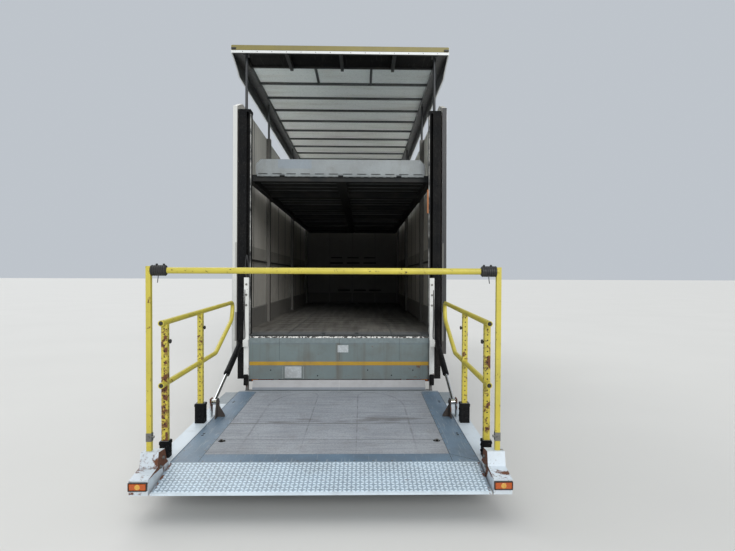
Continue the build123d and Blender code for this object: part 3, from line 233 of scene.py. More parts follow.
def deck_wood():
    """Worn grey boards: long grain, seams across, dark lines where tyres turned."""
    g = Graph("deck_wood", "a9aeb4")
    grain = g.noise(26, 8, 0.6, stretch=(0.12, 2.2, 1))
    g.paint(g.span(grain, 0.3, 0.72), "888c93")
    g.paint(g.span(g.noise(2.3, 6), 0.45, 0.7, 0.0, 0.5), "b6bbc1")
    g.paint(g.span(g.noise(75, 6, 0.75, stretch=(1, 0.5, 1)), 0.42, 0.62, 0.0, 0.35), "5f6164")
    g.paint(g.span(g.noise(5.5, 7, 0.7), 0.55, 0.72, 0.0, 0.42), "78746f")
    far = g.reading("far")
    v = g.math("SUBTRACT", g.axis("Y"), HINGE[0])
    g.paint(g.times(g.span(v, -2.3, -1.2, 0.35, 0.0), g.noise(3, 5)), "8a8681")
    # Seams across: place, half width, darkness
    for seam, half, dark in (
        (-0.66, 0.002, 0.25),
        (-0.97, 0.003, 0.45),
        (-1.33, 0.005, 0.95),
        (-1.8, 0.004, 0.7),
        (-1.89, 0.003, 0.4),
    ):
        g.paint(g.times(g.within(v, *around(seam, half), 0.0015), dark), "2e2b29")
    worn = g.span(g.noise(12, 5), 0.35, 0.65, 0.1, 0.55)
    # Tyre lines are parts of ellipses: middle across, reach across, middle along, reach along,
    # half width, softness, range across
    for middle, wide, start, tall, half, soft, across_range in (
        (0.33, 0.37, -0.75, 0.62, 0.018, 0.02, (0.33, 0.9)),
        (0.33, -0.11, -0.3, 0.17, 0.05, 0.03, (0.1, 0.33)),
    ):
        across = g.math("DIVIDE", g.math("SUBTRACT", far, middle), wide)
        along = g.math("DIVIDE", g.math("MAXIMUM", g.math("SUBTRACT", v, start), 0.0), tall)
        ring = g.math("SQRT", g.math("ADD", g.times(across, across), g.times(along, along)))
        line = g.times(g.within(ring, *around(1, half), soft), g.within(far, *across_range, 0.002))
        line = g.times(line, g.within(v, -1.95, 0.0, 0.3))
        g.paint(g.times(line, worn), "45423f")
    rubbed = g.span(g.noise(5, 6, stretch=(0.5, 2, 1)), 0.45, 0.62, 0.0, 0.6)
    g.paint(g.times(g.within(v, -1.36, -1.12, 0.06), rubbed), "55514d")
    g.paint(g.times(g.within(g.axis("X"), 0.86, 0.99, 0.06), 0.15), "6a6662")
    g.surface(g.span(grain, 0.2, 0.8, 0.62, 0.85), grain, 0.3, 0.001)


# Ranges of a facing: against its axis and along it
AGAINST = (-1.2, -0.5)
ALONG = (0.5, 1.2)


def load_floor():
    """Grey floor: dull near the opening's edge, brown and worn further in, and darkened by painted shade in
    the depth.
    """
    g = Graph("load_floor", "9b968c")
    track = g.noise(7, 6, 0.6, stretch=(1.6, 0.12, 1))
    g.paint(g.span(track, 0.35, 0.65), "6c675f")
    g.paint(g.span(g.noise(3.1, 6), 0.5, 0.7, 0.0, 0.5), "57504a")
    d = g.math("SUBTRACT", g.axis("Y"), REAR_Y)
    ragged = g.math("ADD", d, g.span(g.noise(6, 5), 0.3, 0.7, -0.03, 0.03))
    g.paint(g.span(ragged, 0.3, 0.4, 0.8, 0.0), "75787a")
    g.paint(g.span(ragged, 0.07, 0.11, 0.85, 0.0), "3d3a39")
    # Painted shade: darker the deeper into the box
    g.paint(g.span(d, 1.5, 7.0, 0.0, 0.8), "2d2a27")
    g.paint(g.times(g.span(g.cells(55), 0.0, 0.6), 0.12), "a9acab")
    g.paint(g.area({"ny": AGAINST}), g.mix(g.noise(30, 5, 0.7), "5d686a", "8a9697"))
    g.surface(g.span(track, 0.2, 0.8, 0.5, 0.75), track, 0.2, 0.001, Metallic=0.15)


def zinc(name, base, spangle=42, metal=0.75, rough=0.42, dirt=0.35):
    """Galvanised or bare metal with faint spangle."""
    g = Graph(name, scaled(rgb(base), 1.25))
    g.paint(g.span(g.cells(spangle), 0.05, 0.6), base)
    g.paint(g.span(g.noise(3.7, 6), 0.48, 0.72, 0.0, dirt), DIRT)
    fine = g.noise(140, 3)
    g.surface(g.span(fine, 0.2, 0.8, rough - 0.08, rough + 0.16), fine, 0.08, 0.0005, Metallic=metal)


def rubber():
    g = Graph("rubber", "17181a")
    g.paint(g.span(g.noise(9, 7, 0.7), 0.42, 0.72, 0.0, 0.55), "48443d")
    grit = g.noise(320, 3)
    g.surface(g.span(grit, 0.2, 0.8, 0.7, 0.92), grit, 0.25, 0.0006)


def streaked_edge():
    """Black profile edge rubbed bare in long pale streaks."""
    g = Graph("streaked_edge", "2c2d2f")
    runs = g.span(g.noise(4.5, 8, 0.75), 0.42, 0.6)
    g.paint(runs, "c3c3be")
    g.paint(g.span(g.noise(60, 4), 0.5, 0.7, 0.0, 0.4), DIRT)
    g.surface(g.span(runs, 0.0, 1.0, 0.6, 0.4), runs, 0.1, 0.0005)


def light_panel():
    """Translucent fibre roof sheet, cloudy with old dirt, with painted shade towards the hood."""
    g = Graph("light_panel", "fdfcf6")
    fibre = g.noise(38, 5, 0.6, stretch=(1, 1.8, 1))
    g.paint(g.span(fibre, 0.35, 0.7, 0.0, 0.5), "ccd3d1")
    # Painted shade: darker next to the hood, fading out 4 m in
    g.paint(g.span(g.axis("Y"), at(0.6), at(4.0), 0.42, 0.0), "8fa3a6")
    g.paint(g.span(g.noise(48, 5, 0.8), 0.54, 0.68, 0.0, 0.6), "6f7a7c")
    g.paint(g.span(g.noise(2.1, 6, 0.6, stretch=(0.6, 2.5, 1)), 0.5, 0.75, 0.0, 0.5), "a09a8a")
    g.surface(0.55, fibre, 0.1, 0.001, Transmission_Weight=0.55, IOR=1.1)


def fabric(name, base):
    g = Graph(name, base)
    weave = g.waves(160, 1.5, bands_direction="DIAGONAL")
    g.paint(weave, scaled(g.colour, 1.7))
    g.paint(g.span(g.noise(6, 4), 0.45, 0.7, 0.0, 0.4), DIRT)
    g.surface(0.9, weave, 0.5, 0.001, Sheen_Weight=0.35)


def glass():
    g = Graph("glass", "dfe9e7")
    haze = g.noise(12, 5)
    g.paint(g.span(haze, 0.4, 0.7, 0.0, 0.2), "b9bfb9")
    g.surface(g.span(haze, 0.3, 0.8, 0.02, 0.12), haze, 0.01, 0.0003, Transmission_Weight=0.95, IOR=1.12)


def lens(name, base):
    """Moulded lamp lens with fine prisms."""
    g = Graph(name, base)
    prism = g.waves(120)
    g.paint(prism, scaled(g.colour, 0.7))
    g.paint(g.span(g.noise(20, 5), 0.5, 0.75, 0.0, 0.3), DIRT)
    g.surface(0.12, prism, 0.3, 0.0008, Transmission_Weight=0.25, Coat_Weight=0.6)


# Every kind of surface. Zones are (colour, amount, limits) and rusty places (amount, limits).
SIDE_PLATE = (1.141, 1.4)
ARM = (1.0, 1.2)
REAR_EDGE = {"y": (-4.0, at(0.02)), "ny": AGAINST}
FRONT_EDGE = ("e6e8e6", 1.0, {"y": (4.23, 4.4)})
PORTAL_FOOT = {"y": (-6.26, -6.1), "z": (0.25, 1.26)}
finish("cab_white", "eeeeec", 0.28, 0.02, grime=0.2, grime_z=(0.3, 1.1), streak=0.04, Coat_Weight=0.5)
finish("box_white", "e4e6e4", 0.38, 0.03, grime=0.22, grime_z=(0.8, 1.9), streak=0.1)
wall_zones = (
    ("e6e8e6", 1.0, {"far": (1.246, 1.4)}),
    FRONT_EDGE,
    ("c9cbc8", 0.8, {"x": (-1.4, -1.19), **REAR_EDGE}),
    # The right wall's rear edge is near-black, the left one pale grey
    ("17181a", 1.0, {"x": (1.19, 1.4), **REAR_EDGE}),
    ("6b6966", 0.85, {"far": (0.0, 1.22), "z": (0.9, 1.236)}),
    ("77756e", 0.5, {"far": (0.0, 1.22), "z": (1.75, 2.05)}),
)
finish("wall_light", "e0dcd2", 0.45, 0.07, grime=0.3, grime_z=(1.0, 1.9), streak=0.25, zones=wall_zones)
# Painted shade: the front wall is the side walls' paint darkened to grey, for the shade deep inside the box;
# its outer edge stays white
front_zones = (FRONT_EDGE, ("45433f", 0.85, {"y": (3.0, 4.23), "z": (0.9, 1.236)}))
finish("front_grey_painted_shade", "6f6c66", 0.5, 0.07, grime=0.3, streak=0.25, zones=front_zones)
finish(
    "panel_grey", "6f7c7c", 0.5, 0.1, grime=0.45, streak=0.65, rust=0.2,
    zones=(("66747a", 0.6, {"z": (0.86, 0.95)}),),
    rusty=((0.1, {"x": (0.72, 1.1), "z": (0.36, 0.62)}),),
)
finish("fascia", "8b8044", 0.5, 0.08, grime=0.2, streak=0.2, rust=0.1)
# Painted shade: inside the box the roof frame is darkened, near-black in the hood at the rear; its outer
# edges are white
roof_zones = (
    ("16181b", 0.95, {"far": (0.0, 1.262), "y": (-4.0, at(0.62)), "z": (3.5, 4.34)}),
    ("282b2d", 0.92, {"far": (0.0, 1.262), "y": (-4.0, 4.21), "z": (2.0, 4.345)}),
    ("dfe2e0", 0.9, {"far": (1.262, 1.4)}),
)
finish("roof_grey", "8f9698", 0.42, 0.08, streak=0.2, zones=roof_zones)
finish("post_grey", "64625d", 0.45, 0.1, grime=0.4, streak=0.3, rust=0.15)
finish(
    "black_steel", "0b0c0e", 0.62, 0.1, grime=0.06, streak=0.08, scratch=0.04,
    Specular_IOR_Level=0.12,
)
finish("chassis_black", "232427", 0.5, 0.12, grime=0.45, rust=0.2)
# Painted shade on the rails: their lower parts a darker yellow
finish(
    "yellow", "d0c14c", 0.42, 0.08, cloud=5, grime=0.15, rust=0.22, rust_size=16, chips=(0.3, "3a2415"),
    zones=(("c2ae38", 0.5, {"z": (0.2, 0.75)}),),
    rusty=(
        (0.1, {"ny": AGAINST, "z": (0.25, 1.5), "y": (-5.4, -5.2)}),
        (0.04, {"y": (-6.6, -6.35), "z": (0.25, 1.7)}),
        (0.09, PORTAL_FOOT),
        (0.08, {"ny": AGAINST, "x": (-1.4, 0.0), **PORTAL_FOOT}),
        (0.03, {"ny": AGAINST, "x": (0.0, 1.4), **PORTAL_FOOT}),
    ),
)
finish("strip_yellow", "b8901f", 0.5, 0.1, grime=0.4, streak=0.2, chips=(0.1, "4b4436"))
finish(
    "arm_white", "e3e4e0", 0.42, 0.06, rust=0.05, rust_size=11,
    zones=(
        ("1b1a1a", 0.9, {"far": ARM, "z": (0.3, 0.505)}),
        ("666e78", 0.9, {"far": (0.0, 1.0), "z": (0.3, 0.375)}),
        ("989799", 0.85, {"far": (0.0, 1.0), "z": (0.375, 0.6)}),
    ),
    rusty=((0.1, {"far": ARM, "z": (0.3, 0.62)}), (0.06, {"far": ARM, "z": (1.3, 1.7)})),
)
# Painted shade: the ramp's flat plate is darker than its raised lozenges, for the shade between them
finish(
    "ramp_white_painted_shade", "9aabb8", 0.42, 0.06, cloud=4, grime=0.3, rust=0.16, rust_size=13,
    zones=(("d5e2ea", 0.9, {"y": (-6.8, -6.694)}),),
    rusty=((0.18, {"far": (1.118, 1.3)}),),
)
finish("lozenge_white", "d8e7f1", 0.4, 0.03, cloud=4, grime=0.15, rust=0.08, rust_size=13)
finish(
    "plate_blue", "6d8396", 0.45, 0.1, cloud=3, rust=0.12, scratch=0.2,
    zones=(
        ("d3dce2", 0.95, {"far": SIDE_PLATE}),
        ("b3b6b4", 0.7, {"y": (-4.08, -3.9)}),
        ("626d70", 0.8, {"far": SIDE_PLATE, "y": (-4.64, -4.09)}),
        ("3a3b3c", 0.85, {"nz": AGAINST}),
        ("131416", 0.95, {"far": (1.165, 1.26), "y": (-5.352, -5.258), "z": (0.32, 0.6)}),
        ("131416", 0.95, {"far": (1.172, 1.25), "y": (-6.242, -6.168), "z": (0.295, 0.6)}),
    ),
    rusty=(
        (0.22, {"far": (1.1, 1.25), "y": (-5.19, -5.02), "z": (0.34, 0.6)}),
        (0.3, {"y": (-6.8, -6.33), "inward": AGAINST, "z": (0.3, 0.6)}),
        (0.14, {"y": (-6.8, -6.33), "far": (1.12, 1.35), "z": (0.2, 0.6)}),
    ),
)
finish("cast", "34353a", 0.6, 0.15, grime=0.5, rust=0.3, bump=0.3)
finish("plastic", "1d1e20", 0.5, 0.08, grime=0.2, bump=0.3)
finish("dark_hole", "0b0b0c", 0.8, 0.1, grime=0.2)
finish("worn_edge", "4a4641", 0.55, 0.1, grime=0.2, chips=(1.7, "ebe9e3"), scratch=0.3)
finish("rusted", "3a3430", 0.7, 0.1, grime=0.3, rust=0.75, rust_size=9, bump=0.3)
# Painted shade: the upper deck is near-black on all but its top faces, which are pale grey
finish(
    "deck_steel", "222425", 0.6, 0.1, grime=0.2, rust=0.05, Specular_IOR_Level=0.2,
    zones=(("83888a", 0.95, {"nz": ALONG}),),
)
finish(
    "flap_grey", "8d9394", 0.5, 0.1, cloud=2.4, grime=0.3, streak=0.12, scratch=0.15,
    zones=(("7c8894", 0.5, {"x": (-0.75, -0.35), "z": (2.95, 3.2)}),),
)
finish("wheel_silver", "a8abac", 0.38, 0.06, grime=0.4, rust=0.1, metal=0.3)
finish("mirror", "d5d9da", 0.05, 0.02, grime=0.1, bump=0.0, metal=1.0)
zinc("zinc", "7d8182")
zinc("zinc_light", "aeb3b5", metal=0.4, rough=0.5)
zinc("aluminium", "b3b6b8", 90, 0.85, 0.32, 0.2)
zinc("steel", "7d7c78", 120, 0.85, 0.38, 0.35)
zinc("chrome", "c9cbcc", 200, 1.0, 0.16, 0.1)
lens("red_lens", "a3120d")
lens("amber_lens", "d9620f")
lens("amber_bright", "ffc24e")
lens("amber_side", "f5920f")
lens("clear_lens", "e6e8e6")
fabric("seat_cloth", "2a2d33")
fabric("strap", "8f5a35")
deck_wood()
load_floor()
streaked_edge()
light_panel()
glass()
rubber()

nodes_of = {
    "chassis_black": "chassis_frame suspension propeller_shaft track_rod",
    "cast": "engine_block axles left_knuckle right_knuckle",
    "aluminium": "fuel_tank side_guards",
    "plastic": "battery_box rear_mudguards grille_panel mirrors dashboard",
    "load_floor": "box_floor",
    "wall_light": "box_walls",
    "front_grey_painted_shade": "box_front_wall",
    "post_grey": "guide_posts",
    "black_steel": "lift_columns tilt_barrels",
    "panel_grey": "rear_panel",
    "red_lens": "tail_lamps",
    "roof_grey": "roof_frame",
    "light_panel": "roof_panel",
    "deck_steel": "upper_deck",
    "flap_grey": "deck_flap",
    "arm_white": "lift_carriage",
    "plate_blue": "lift_platform",
    "deck_wood": "platform_board",
    "ramp_white_painted_shade": "ramp_plate",
    "amber_lens": "platform_lamps",
    "yellow": "guard_rails guard_portal",
    "chrome": "tilt_rods",
    "cab_white": "cab_shell cab_door_left cab_door_right front_bumper",
    "glass": "door_glass_left door_glass_right windscreen",
    "clear_lens": "headlamps",
    "seat_cloth": "seats",
    "rubber": "front_left_tyre front_right_tyre rear_left_tyres rear_right_tyres",
    "wheel_silver": "front_left_wheel front_right_wheel rear_left_wheels rear_right_wheels",
}
for key, names in nodes_of.items():
    for name in names.split():
        nodes[name].data.materials.clear()
        nodes[name].data.materials.append(mats[key])

# The slot that each material stands for, kept on each Shape made here
materials_of = {
    "white_paint": "lozenge_white streaked_edge box_white",
    "yellow_paint": "strip_yellow fascia",
    "grey_panel": "post_grey",
    "black_steel": "black_steel dark_hole rusted",
    "galvanised": "steel zinc zinc_light",
    "bare_aluminium": "aluminium worn_edge flap_grey",
    "black_plastic": "plastic mirror rubber",
    "lamp_amber": "amber_lens amber_bright amber_side",
    "lamp_clear": "clear_lens chrome",
    "seat_fabric": "strap",
}
SLOTS = {name: slot for slot, names in materials_of.items() for name in names.split()}

# Shapes

SHARP = radians(32)
TOWARDS = {"X": turned(pi / 2, "Y"), "Z": HERE}
BACK, UP, DOWN = (0, -1, 0), (0, 0, 1), (0, 0, -1)


CORNERS = [(x, y, z) for x in SIDES for y in SIDES for z in SIDES]


def block_faces():
    """Six sides, twelve chamfers and eight corners; each corner has one point on each of three sides."""
    faces = []
    for axis in range(3):
        a, b = (axis + 1) % 3, (axis + 2) % 3

        def point(side, end, sa, sb):
            sign = dict(zip((axis, a, b), (end, sa, sb)))
            return 3 * CORNERS.index((sign[0], sign[1], sign[2])) + side

        for end in SIDES:
            faces.append([point(axis, end, *pair) for pair in ((-1, -1), (1, -1), (1, 1), (-1, 1))])
        for sa in SIDES:
            for sb in SIDES:
                faces.append([point(side, end, sa, sb) for side, end in ((a, -1), (a, 1), (b, 1), (b, -1))])
    return faces + [[3 * corner + side for side in range(3)] for corner in range(8)]


BLOCK_FACES = block_faces()


class Shape:
    """Gathers closed solids into one mesh that rides on a CAD body."""

    def __init__(self, name, body, material, place=HERE, slot=None):
        self.name, self.body, self.material, self.place = name, body, material, place
        self.slot = slot or SLOTS[material]
        self.verts, self.faces = [], []

    def add(self, verts, faces, local=HERE):
        start = len(self.verts)
        move = self.place @ local
        self.verts += [move @ Vector(v) for v in verts]
        self.faces += [[start + i for i in face] for face in faces]

    def block(self, xs, ys, zs, bevel=0.0008, local=HERE):
        """Box between three ranges, with small chamfers."""
        low, high = (Vector(corner) for corner in zip(sorted(xs), ys, zs))
        middle = (low + high) / 2
        half = (high - low) / 2
        bevel = min(bevel, min(half) * 0.7)
        verts = []
        for sign in CORNERS:
            for face in range(3):
                inset = [0 if i == face else bevel for i in range(3)]
                verts.append([sign[i] * (half[i] - inset[i]) + middle[i] for i in range(3)])
        self.add(verts, BLOCK_FACES, local)

    def box(self, xs, ds, zs, bevel=0.0008, side=1):
        """Block with its places along the truck as d. Side -1 puts it on the other side."""
        self.block([side * x for x in xs], [at(d) for d in ds], zs, bevel)

    def lathe(self, profile, centre, axis="Z", steps=24, local=HERE):
        """Solid turned from (radius, height) pairs about an axis through centre."""
        towards = TOWARDS.get(axis) or Vector(axis).to_track_quat("Z", "Y").to_matrix().to_4x4()
        verts = []
        rings = []
        for radius, height in profile:
            count = steps if radius else 1
            rings.append([len(verts) + i % count for i in range(steps)])
            verts += [(radius * cos(a), radius * sin(a), height) for a in turns(count)]
        faces = []
        for lower, upper in zip(rings, rings[1:]):
            for i in range(steps):
                j = (i + 1) % steps
                face = [lower[i], lower[j], upper[j], upper[i]]
                kept = [v for n, v in enumerate(face) if v != face[n - 1]]
                if len(kept) > 2:
                    faces.append(kept)
        if profile[0] != profile[-1]:
            faces += [rings[end] for end in (0, -1) if profile[end][0]]
        self.add(verts, faces, local @ moved(*centre) @ towards)

    def dome(self, rings, top, centre, axis="Z", steps=24, local=HERE):
        """Solid turned from a flat foot, (radius, height) rings and the height of its top."""
        self.lathe([(0, 0), *rings, (0, top)], centre, axis, steps, local)

    def bolt(self, centre, axis, size, height):
        """Hexagon head on a washer."""
        washer = height * 0.25
        self.dome([(size * 1.15, 0), (size * 1.15, washer)], washer, centre, axis, 16)
        self.dome([(size, 0), (size, height * 0.8), (size * 0.85, height)], height, centre, axis, 6)

    def tube(self, points, radius, sides=12, rounds=6, local=HERE):
        """Round tube along a smooth line through the points."""
        line = smooth_line([Vector(p) for p in points], rounds)
        side = (line[1] - line[0]).normalized().orthogonal().normalized()
        verts = []
        for index, point in enumerate(line):
            before = line[max(index - 1, 0)]
            after = line[min(index + 1, len(line) - 1)]
            ahead = (after - before).normalized()
            side = (side - ahead * side.dot(ahead)).normalized()
            other = ahead.cross(side)
            verts += [point + (side * cos(a) + other * sin(a)) * radius for a in turns(sides)]
        ends = [list(range(sides)), [len(verts) - sides + i for i in range(sides)]]
        self.add(verts, ends + skin_faces(sides, len(line)), local)

    def prism(self, outline, low, high, local):
        """Outline in the local XY plane, carried along Z."""
        count = len(outline)
        verts = [(x, y, z) for z in (low, high) for x, y in outline]
        ends = [list(range(count)), [count + i for i in range(count)]]
        self.add(verts, ends + skin_faces(count, 2), local)

    def done(self, replaces=()):
        mesh = bpy.data.meshes.new(self.name)
        mesh.from_pydata(self.verts, [], self.faces)
        work = bmesh.new()
        work.from_mesh(mesh)
        bmesh.ops.recalc_face_normals(work, faces=work.faces)
        work.to_mesh(mesh)
        work.free()
        mesh.shade_smooth()
        mesh.set_sharp_from_angle(angle=SHARP)
        mesh.materials.append(mats[self.material])
        piece = linked(self.name, mesh)
        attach(piece, self.body)
        if replaces:
            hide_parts(*replaces)


def turns(count):
    """Equal steps of a full turn."""
    return [2 * pi * i / count for i in range(count)]


def skin_faces(sides, rings, round_trip=False):
    """Faces between neighbouring rings of points, and back to the first ring after a round trip."""
    faces = []
    for ring in range(rings if round_trip else rings - 1):
        a, b = ring * sides, (ring + 1) % rings * sides
        for i in range(sides):
            j = (i + 1) % sides
            faces.append([a + i, a + j, b + j, b + i])
    return faces


def smooth_line(points, rounds):
    """Catmull-Rom curve through the points."""
    line = []
    for i in range(len(points) - 1):
        a = points[max(i - 1, 0)]
        b, c = points[i], points[i + 1]
        d = points[min(i + 2, len(points) - 1)]
        for step in range(rounds):
            t = step / rounds
            square, cube = 2 * a - 5 * b + 4 * c - d, 3 * b - a - 3 * c + d
            line.append(0.5 * (2 * b + (c - a) * t + square * t**2 + cube * t**3))
    line.append(points[-1])
    return line


def boxes(name, body, material, rows, sides=(1,)):
    """A piece of boxes only, each row as Shape.box takes it, made on every side named."""
    shape = Shape(name, body, material)
    for side in sides:
        for row in rows:
            shape.box(*row, side=side)
    shape.done()


def bars(inner_x, inner_y, outer_x, outer_y, reach):
    """Two ranges for each of four bars about a hole: two across, then two between them, reach long."""
    across, between = (-outer_x, outer_x), (-reach, reach)
    yield across, (-outer_y, -inner_y)
    yield across, (inner_y, outer_y)
    yield (-outer_x, -inner_x), between
    yield (inner_x, outer_x), between


# Ramp and plates of the platform

DECK_TOP = 0.03
FRAME_END = -2.31
PITCH = 0.03


def lozenge(shape, x, y, turn, local):
    """One raised lozenge of chequer plate."""
    length, width, rise, foot = 0.0185, 0.0105, 0.0024, -0.0004
    verts = [(length, 0, foot), (0, width, foot), (-length, 0, foot), (0, -width, foot)]
    verts += [(length * 0.5, 0, rise), (-length * 0.5, 0, rise)]
    faces = [(0, 1, 4), (1, 5, 4), (1, 2, 5), (2, 3, 5), (3, 4, 5), (3, 0, 4), (0, 3, 2, 1)]
    shape.add(verts, faces, local @ moved(x, y, 0) @ turned(turn, "Z"))


chequer = Shape("ramp_chequer", "platform", "lozenge_white", DECK)
ramp_face = moved(0, FRAME_END, DECK_TOP) @ turned(atan2(0.066, 0.4), "X")
for row in range(13):
    for column in range(75):
        way = pi / 4 if (row + column) % 2 else -pi / 4
        lozenge(chequer, -1.11 + PITCH * column, -0.02 - PITCH * row, way, ramp_face)
chequer.done()

screws = Shape("deck_screws", "platform", "steel", DECK)
spots = [(side * x, -0.1 - step * 0.14) for side in SIDES for step in range(16) for x in (0.955, 1.12)]
spots += [(-0.91 + step * 0.14, FRAME_END + 0.02) for step in range(14)]
for x, v in spots:
    screws.dome([(0.007, 0), (0.006, 0.0015)], 0.0018, (x, v, DECK_TOP), "Z", 10)
screws.done()

gaps = Shape("plate_gaps", "platform", "dark_hole", DECK)
for x in (-1.1395, -0.94, 0.94, 1.1395):
    gap_z = (DECK_TOP - 0.0004, DECK_TOP + 0.0005)
    gaps.block(around(x, 0.0014), (FRAME_END + 0.01, -0.09), gap_z, 0.0003)
for xs in ((-0.9, -0.55), (-0.1, 0.16), (0.55, 0.86)):
    gaps.block(xs, (-0.098, -0.092), (DECK_TOP - 0.0004, DECK_TOP + 0.0006), 0.0004)
corner = moved(1.04, FRAME_END + 0.085, DECK_TOP) @ turned(-radians(38), "Z")
gaps.block((-0.125, 0.125), (-0.0014, 0.0014), (-0.0004, 0.0005), 0.0003, corner)
gaps.done()

SHACKLE_X = 0.885
RING = [(0.0255, -0.007), (0.0255, 0.001), (0.029, 0.001), (0.03, 0), (0.03, -0.001), (0.0265, -0.007)]
holes = Shape("deck_holes", "platform", "dark_hole", DECK)
for side in SIDES:
    for v in (-0.515, -1.63):
        for shift in (0, 0.045):
            spot = (side * 1.088, v - shift, DECK_TOP)
            holes.dome([(0.012, 0), (0.011, 0.001)], 0.001, spot, "Z", 14)
    holes.lathe(RING, (side * SHACKLE_X, -1.83, DECK_TOP))
holes.done()

# Guard rails: sockets, knobs, holes in the posts
RAIL_X = 1.212
POSTS_V = (-1.3, -2.2)
POST_HALF = 0.023
LOW_RAIL_W, KNOB_W = 0.588, 0.905
sockets = Shape("rail_sockets", "platform", "black_steel", DECK)
for side in SIDES:
    for v, half, height in zip(POSTS_V, (0.04, 0.032), (0.184, 0.13)):
        place = moved(side * RAIL_X, v, DECK_TOP + 0.004)
        inner, skin, top = half + 0.0002, half + 0.0025, height - 0.006
        for xs, ys in bars(inner, inner, skin, skin, half):
            sockets.block(xs, ys, (0, top), 0.001, place)
        collar = skin + 0.003
        for ys in ((-collar, -skin), (skin, collar)):
            sockets.block((-collar, collar), ys, (top - 0.026, top - 0.004), 0.001, place)
        for z in (0.35 * height, 0.68 * height):
            sockets.bolt((side * (RAIL_X - skin), v, DECK_TOP + z), (-side, 0, 0), 0.009, 0.01)
            sockets.bolt((side * RAIL_X, v - skin, DECK_TOP + z), BACK, 0.008, 0.008)
sockets.done()

KNOB = [(0.007, 0), (0.007, 0.006), (0.014, 0.008), (0.017, 0.011), (0.017, 0.018), (0.013, 0.022)]
PLUG = [(0, -0.002), (0.0165, -0.002), (0.016, 0.0004), (0, 0.0004)]
knobs = Shape("rail_knobs", "platform", "plastic", DECK)
for side in SIDES:
    for v in POSTS_V:
        knobs.dome(KNOB, 0.022, (side * (RAIL_X - POST_HALF), v, KNOB_W), (-side, 0, 0), 16)
    for w in (LOW_RAIL_W, 1.048):
        knobs.lathe(PLUG, (side * RAIL_X, -2.29, w), BACK)
knobs.done()

post_holes = Shape("post_holes", "platform", "dark_hole", DECK)
for side in SIDES:
    for v in POSTS_V:
        for step in range(19):
            w = 0.245 + 0.042 * step
            for dx, dv in ((0, -1), (0, 1), (-side, 0)):
                if abs(w - LOW_RAIL_W) > 0.03 and (dv or abs(w - KNOB_W) > 0.03):
                    spot = (side * RAIL_X + dx * POST_HALF, v + dv * POST_HALF, w)
                    post_holes.dome([(0.0058, 0), (0.0052, 0.0006)], 0.0006, spot, (dx, dv, 0), 10)
post_holes.done()

# Portal: couplers with their cords, clamps at the posts' feet
PORTAL_X, PORTAL_V, BAR_W = 1.232, -2.46, 1.44
couplers = Shape("portal_couplers", "platform", "plastic", DECK)
clamps = Shape("portal_clamps", "platform", "steel", DECK)
ribbed = [(0.0225, 0.002), (0.0355, 0)]
for ring in range(7):
    ribbed += [(0.0385, 0.004 + ring * 0.015), (0.0385, 0.011 + ring * 0.015), (0.0362, 0.013 + ring * 0.015)]
ribbed += [(0.024, 0.112), (0.0225, 0.108)]
cord = ((0.075, -0.03, -0.022), (0.078, -0.036, -0.045), (0.072, -0.033, -0.085))
for side in SIDES:
    couplers.lathe(ribbed, (side * (PORTAL_X - 0.017), PORTAL_V, BAR_W), (-side, 0, 0), 28)
    for inward in (0.035, 0.085):
        couplers.bolt((side * (PORTAL_X - 0.02 - inward), PORTAL_V, BAR_W + 0.036), UP, 0.008, 0.012)
    couplers.tube([(side * (PORTAL_X - x), PORTAL_V + v, BAR_W + w) for x, v, w in cord], 0.003, 8)
    foot = moved(side * PORTAL_X, PORTAL_V, 0)
    for xs, ys in bars(0.0172, 0.0172, 0.0195, 0.0195, 0.0172):
        clamps.block(xs, ys, (0.235, 0.295), 0.0008, foot)
    clamps.bolt((side * (PORTAL_X - 0.0195), PORTAL_V, 0.265), (-side, 0, 0), 0.01, 0.014)
    clamps.bolt((side * PORTAL_X, PORTAL_V - 0.0195, 0.265), BACK, 0.009, 0.008)
    for v, w in ((0.03, 0.11), (-0.02, 0.06)):
        clamps.bolt((side * 1.1502, PORTAL_V + v, w), (-side, 0, 0), 0.012, 0.012)
couplers.done()
clamps.done()

# Platform lamps
LAMP_X, LAMP_W = 1.213, DECK_TOP - 0.016
LENS_X, LENS_Z, WALL = 0.057, 0.023, 0.005
housings = Shape("lamp_housings", "platform", "rusted", DECK)
lenses = Shape("lamp_lenses", "platform", "amber_lens", DECK)
centres = Shape("lamp_centres", "platform", "amber_bright", DECK)
for side in SIDES:
    place = moved(side * LAMP_X, -2.71, LAMP_W)
    for xs, zs in bars(LENS_X, LENS_Z, LENS_X + WALL, LENS_Z + WALL, LENS_Z):
        housings.block(xs, (-0.0195, 0.0), zs, 0.0015, place)
    lenses.block((-LENS_X, LENS_X), (-0.0175, 0.0), (-LENS_Z, LENS_Z), 0.004, place)
    centres.dome([(0.018, 0), (0.015, 0.0012)], 0.0018, (side * LAMP_X, -2.7275, LAMP_W), BACK, 20)
centres.done()
housings.done(["platform_lamps"])
lenses.done(["platform_lamps"])

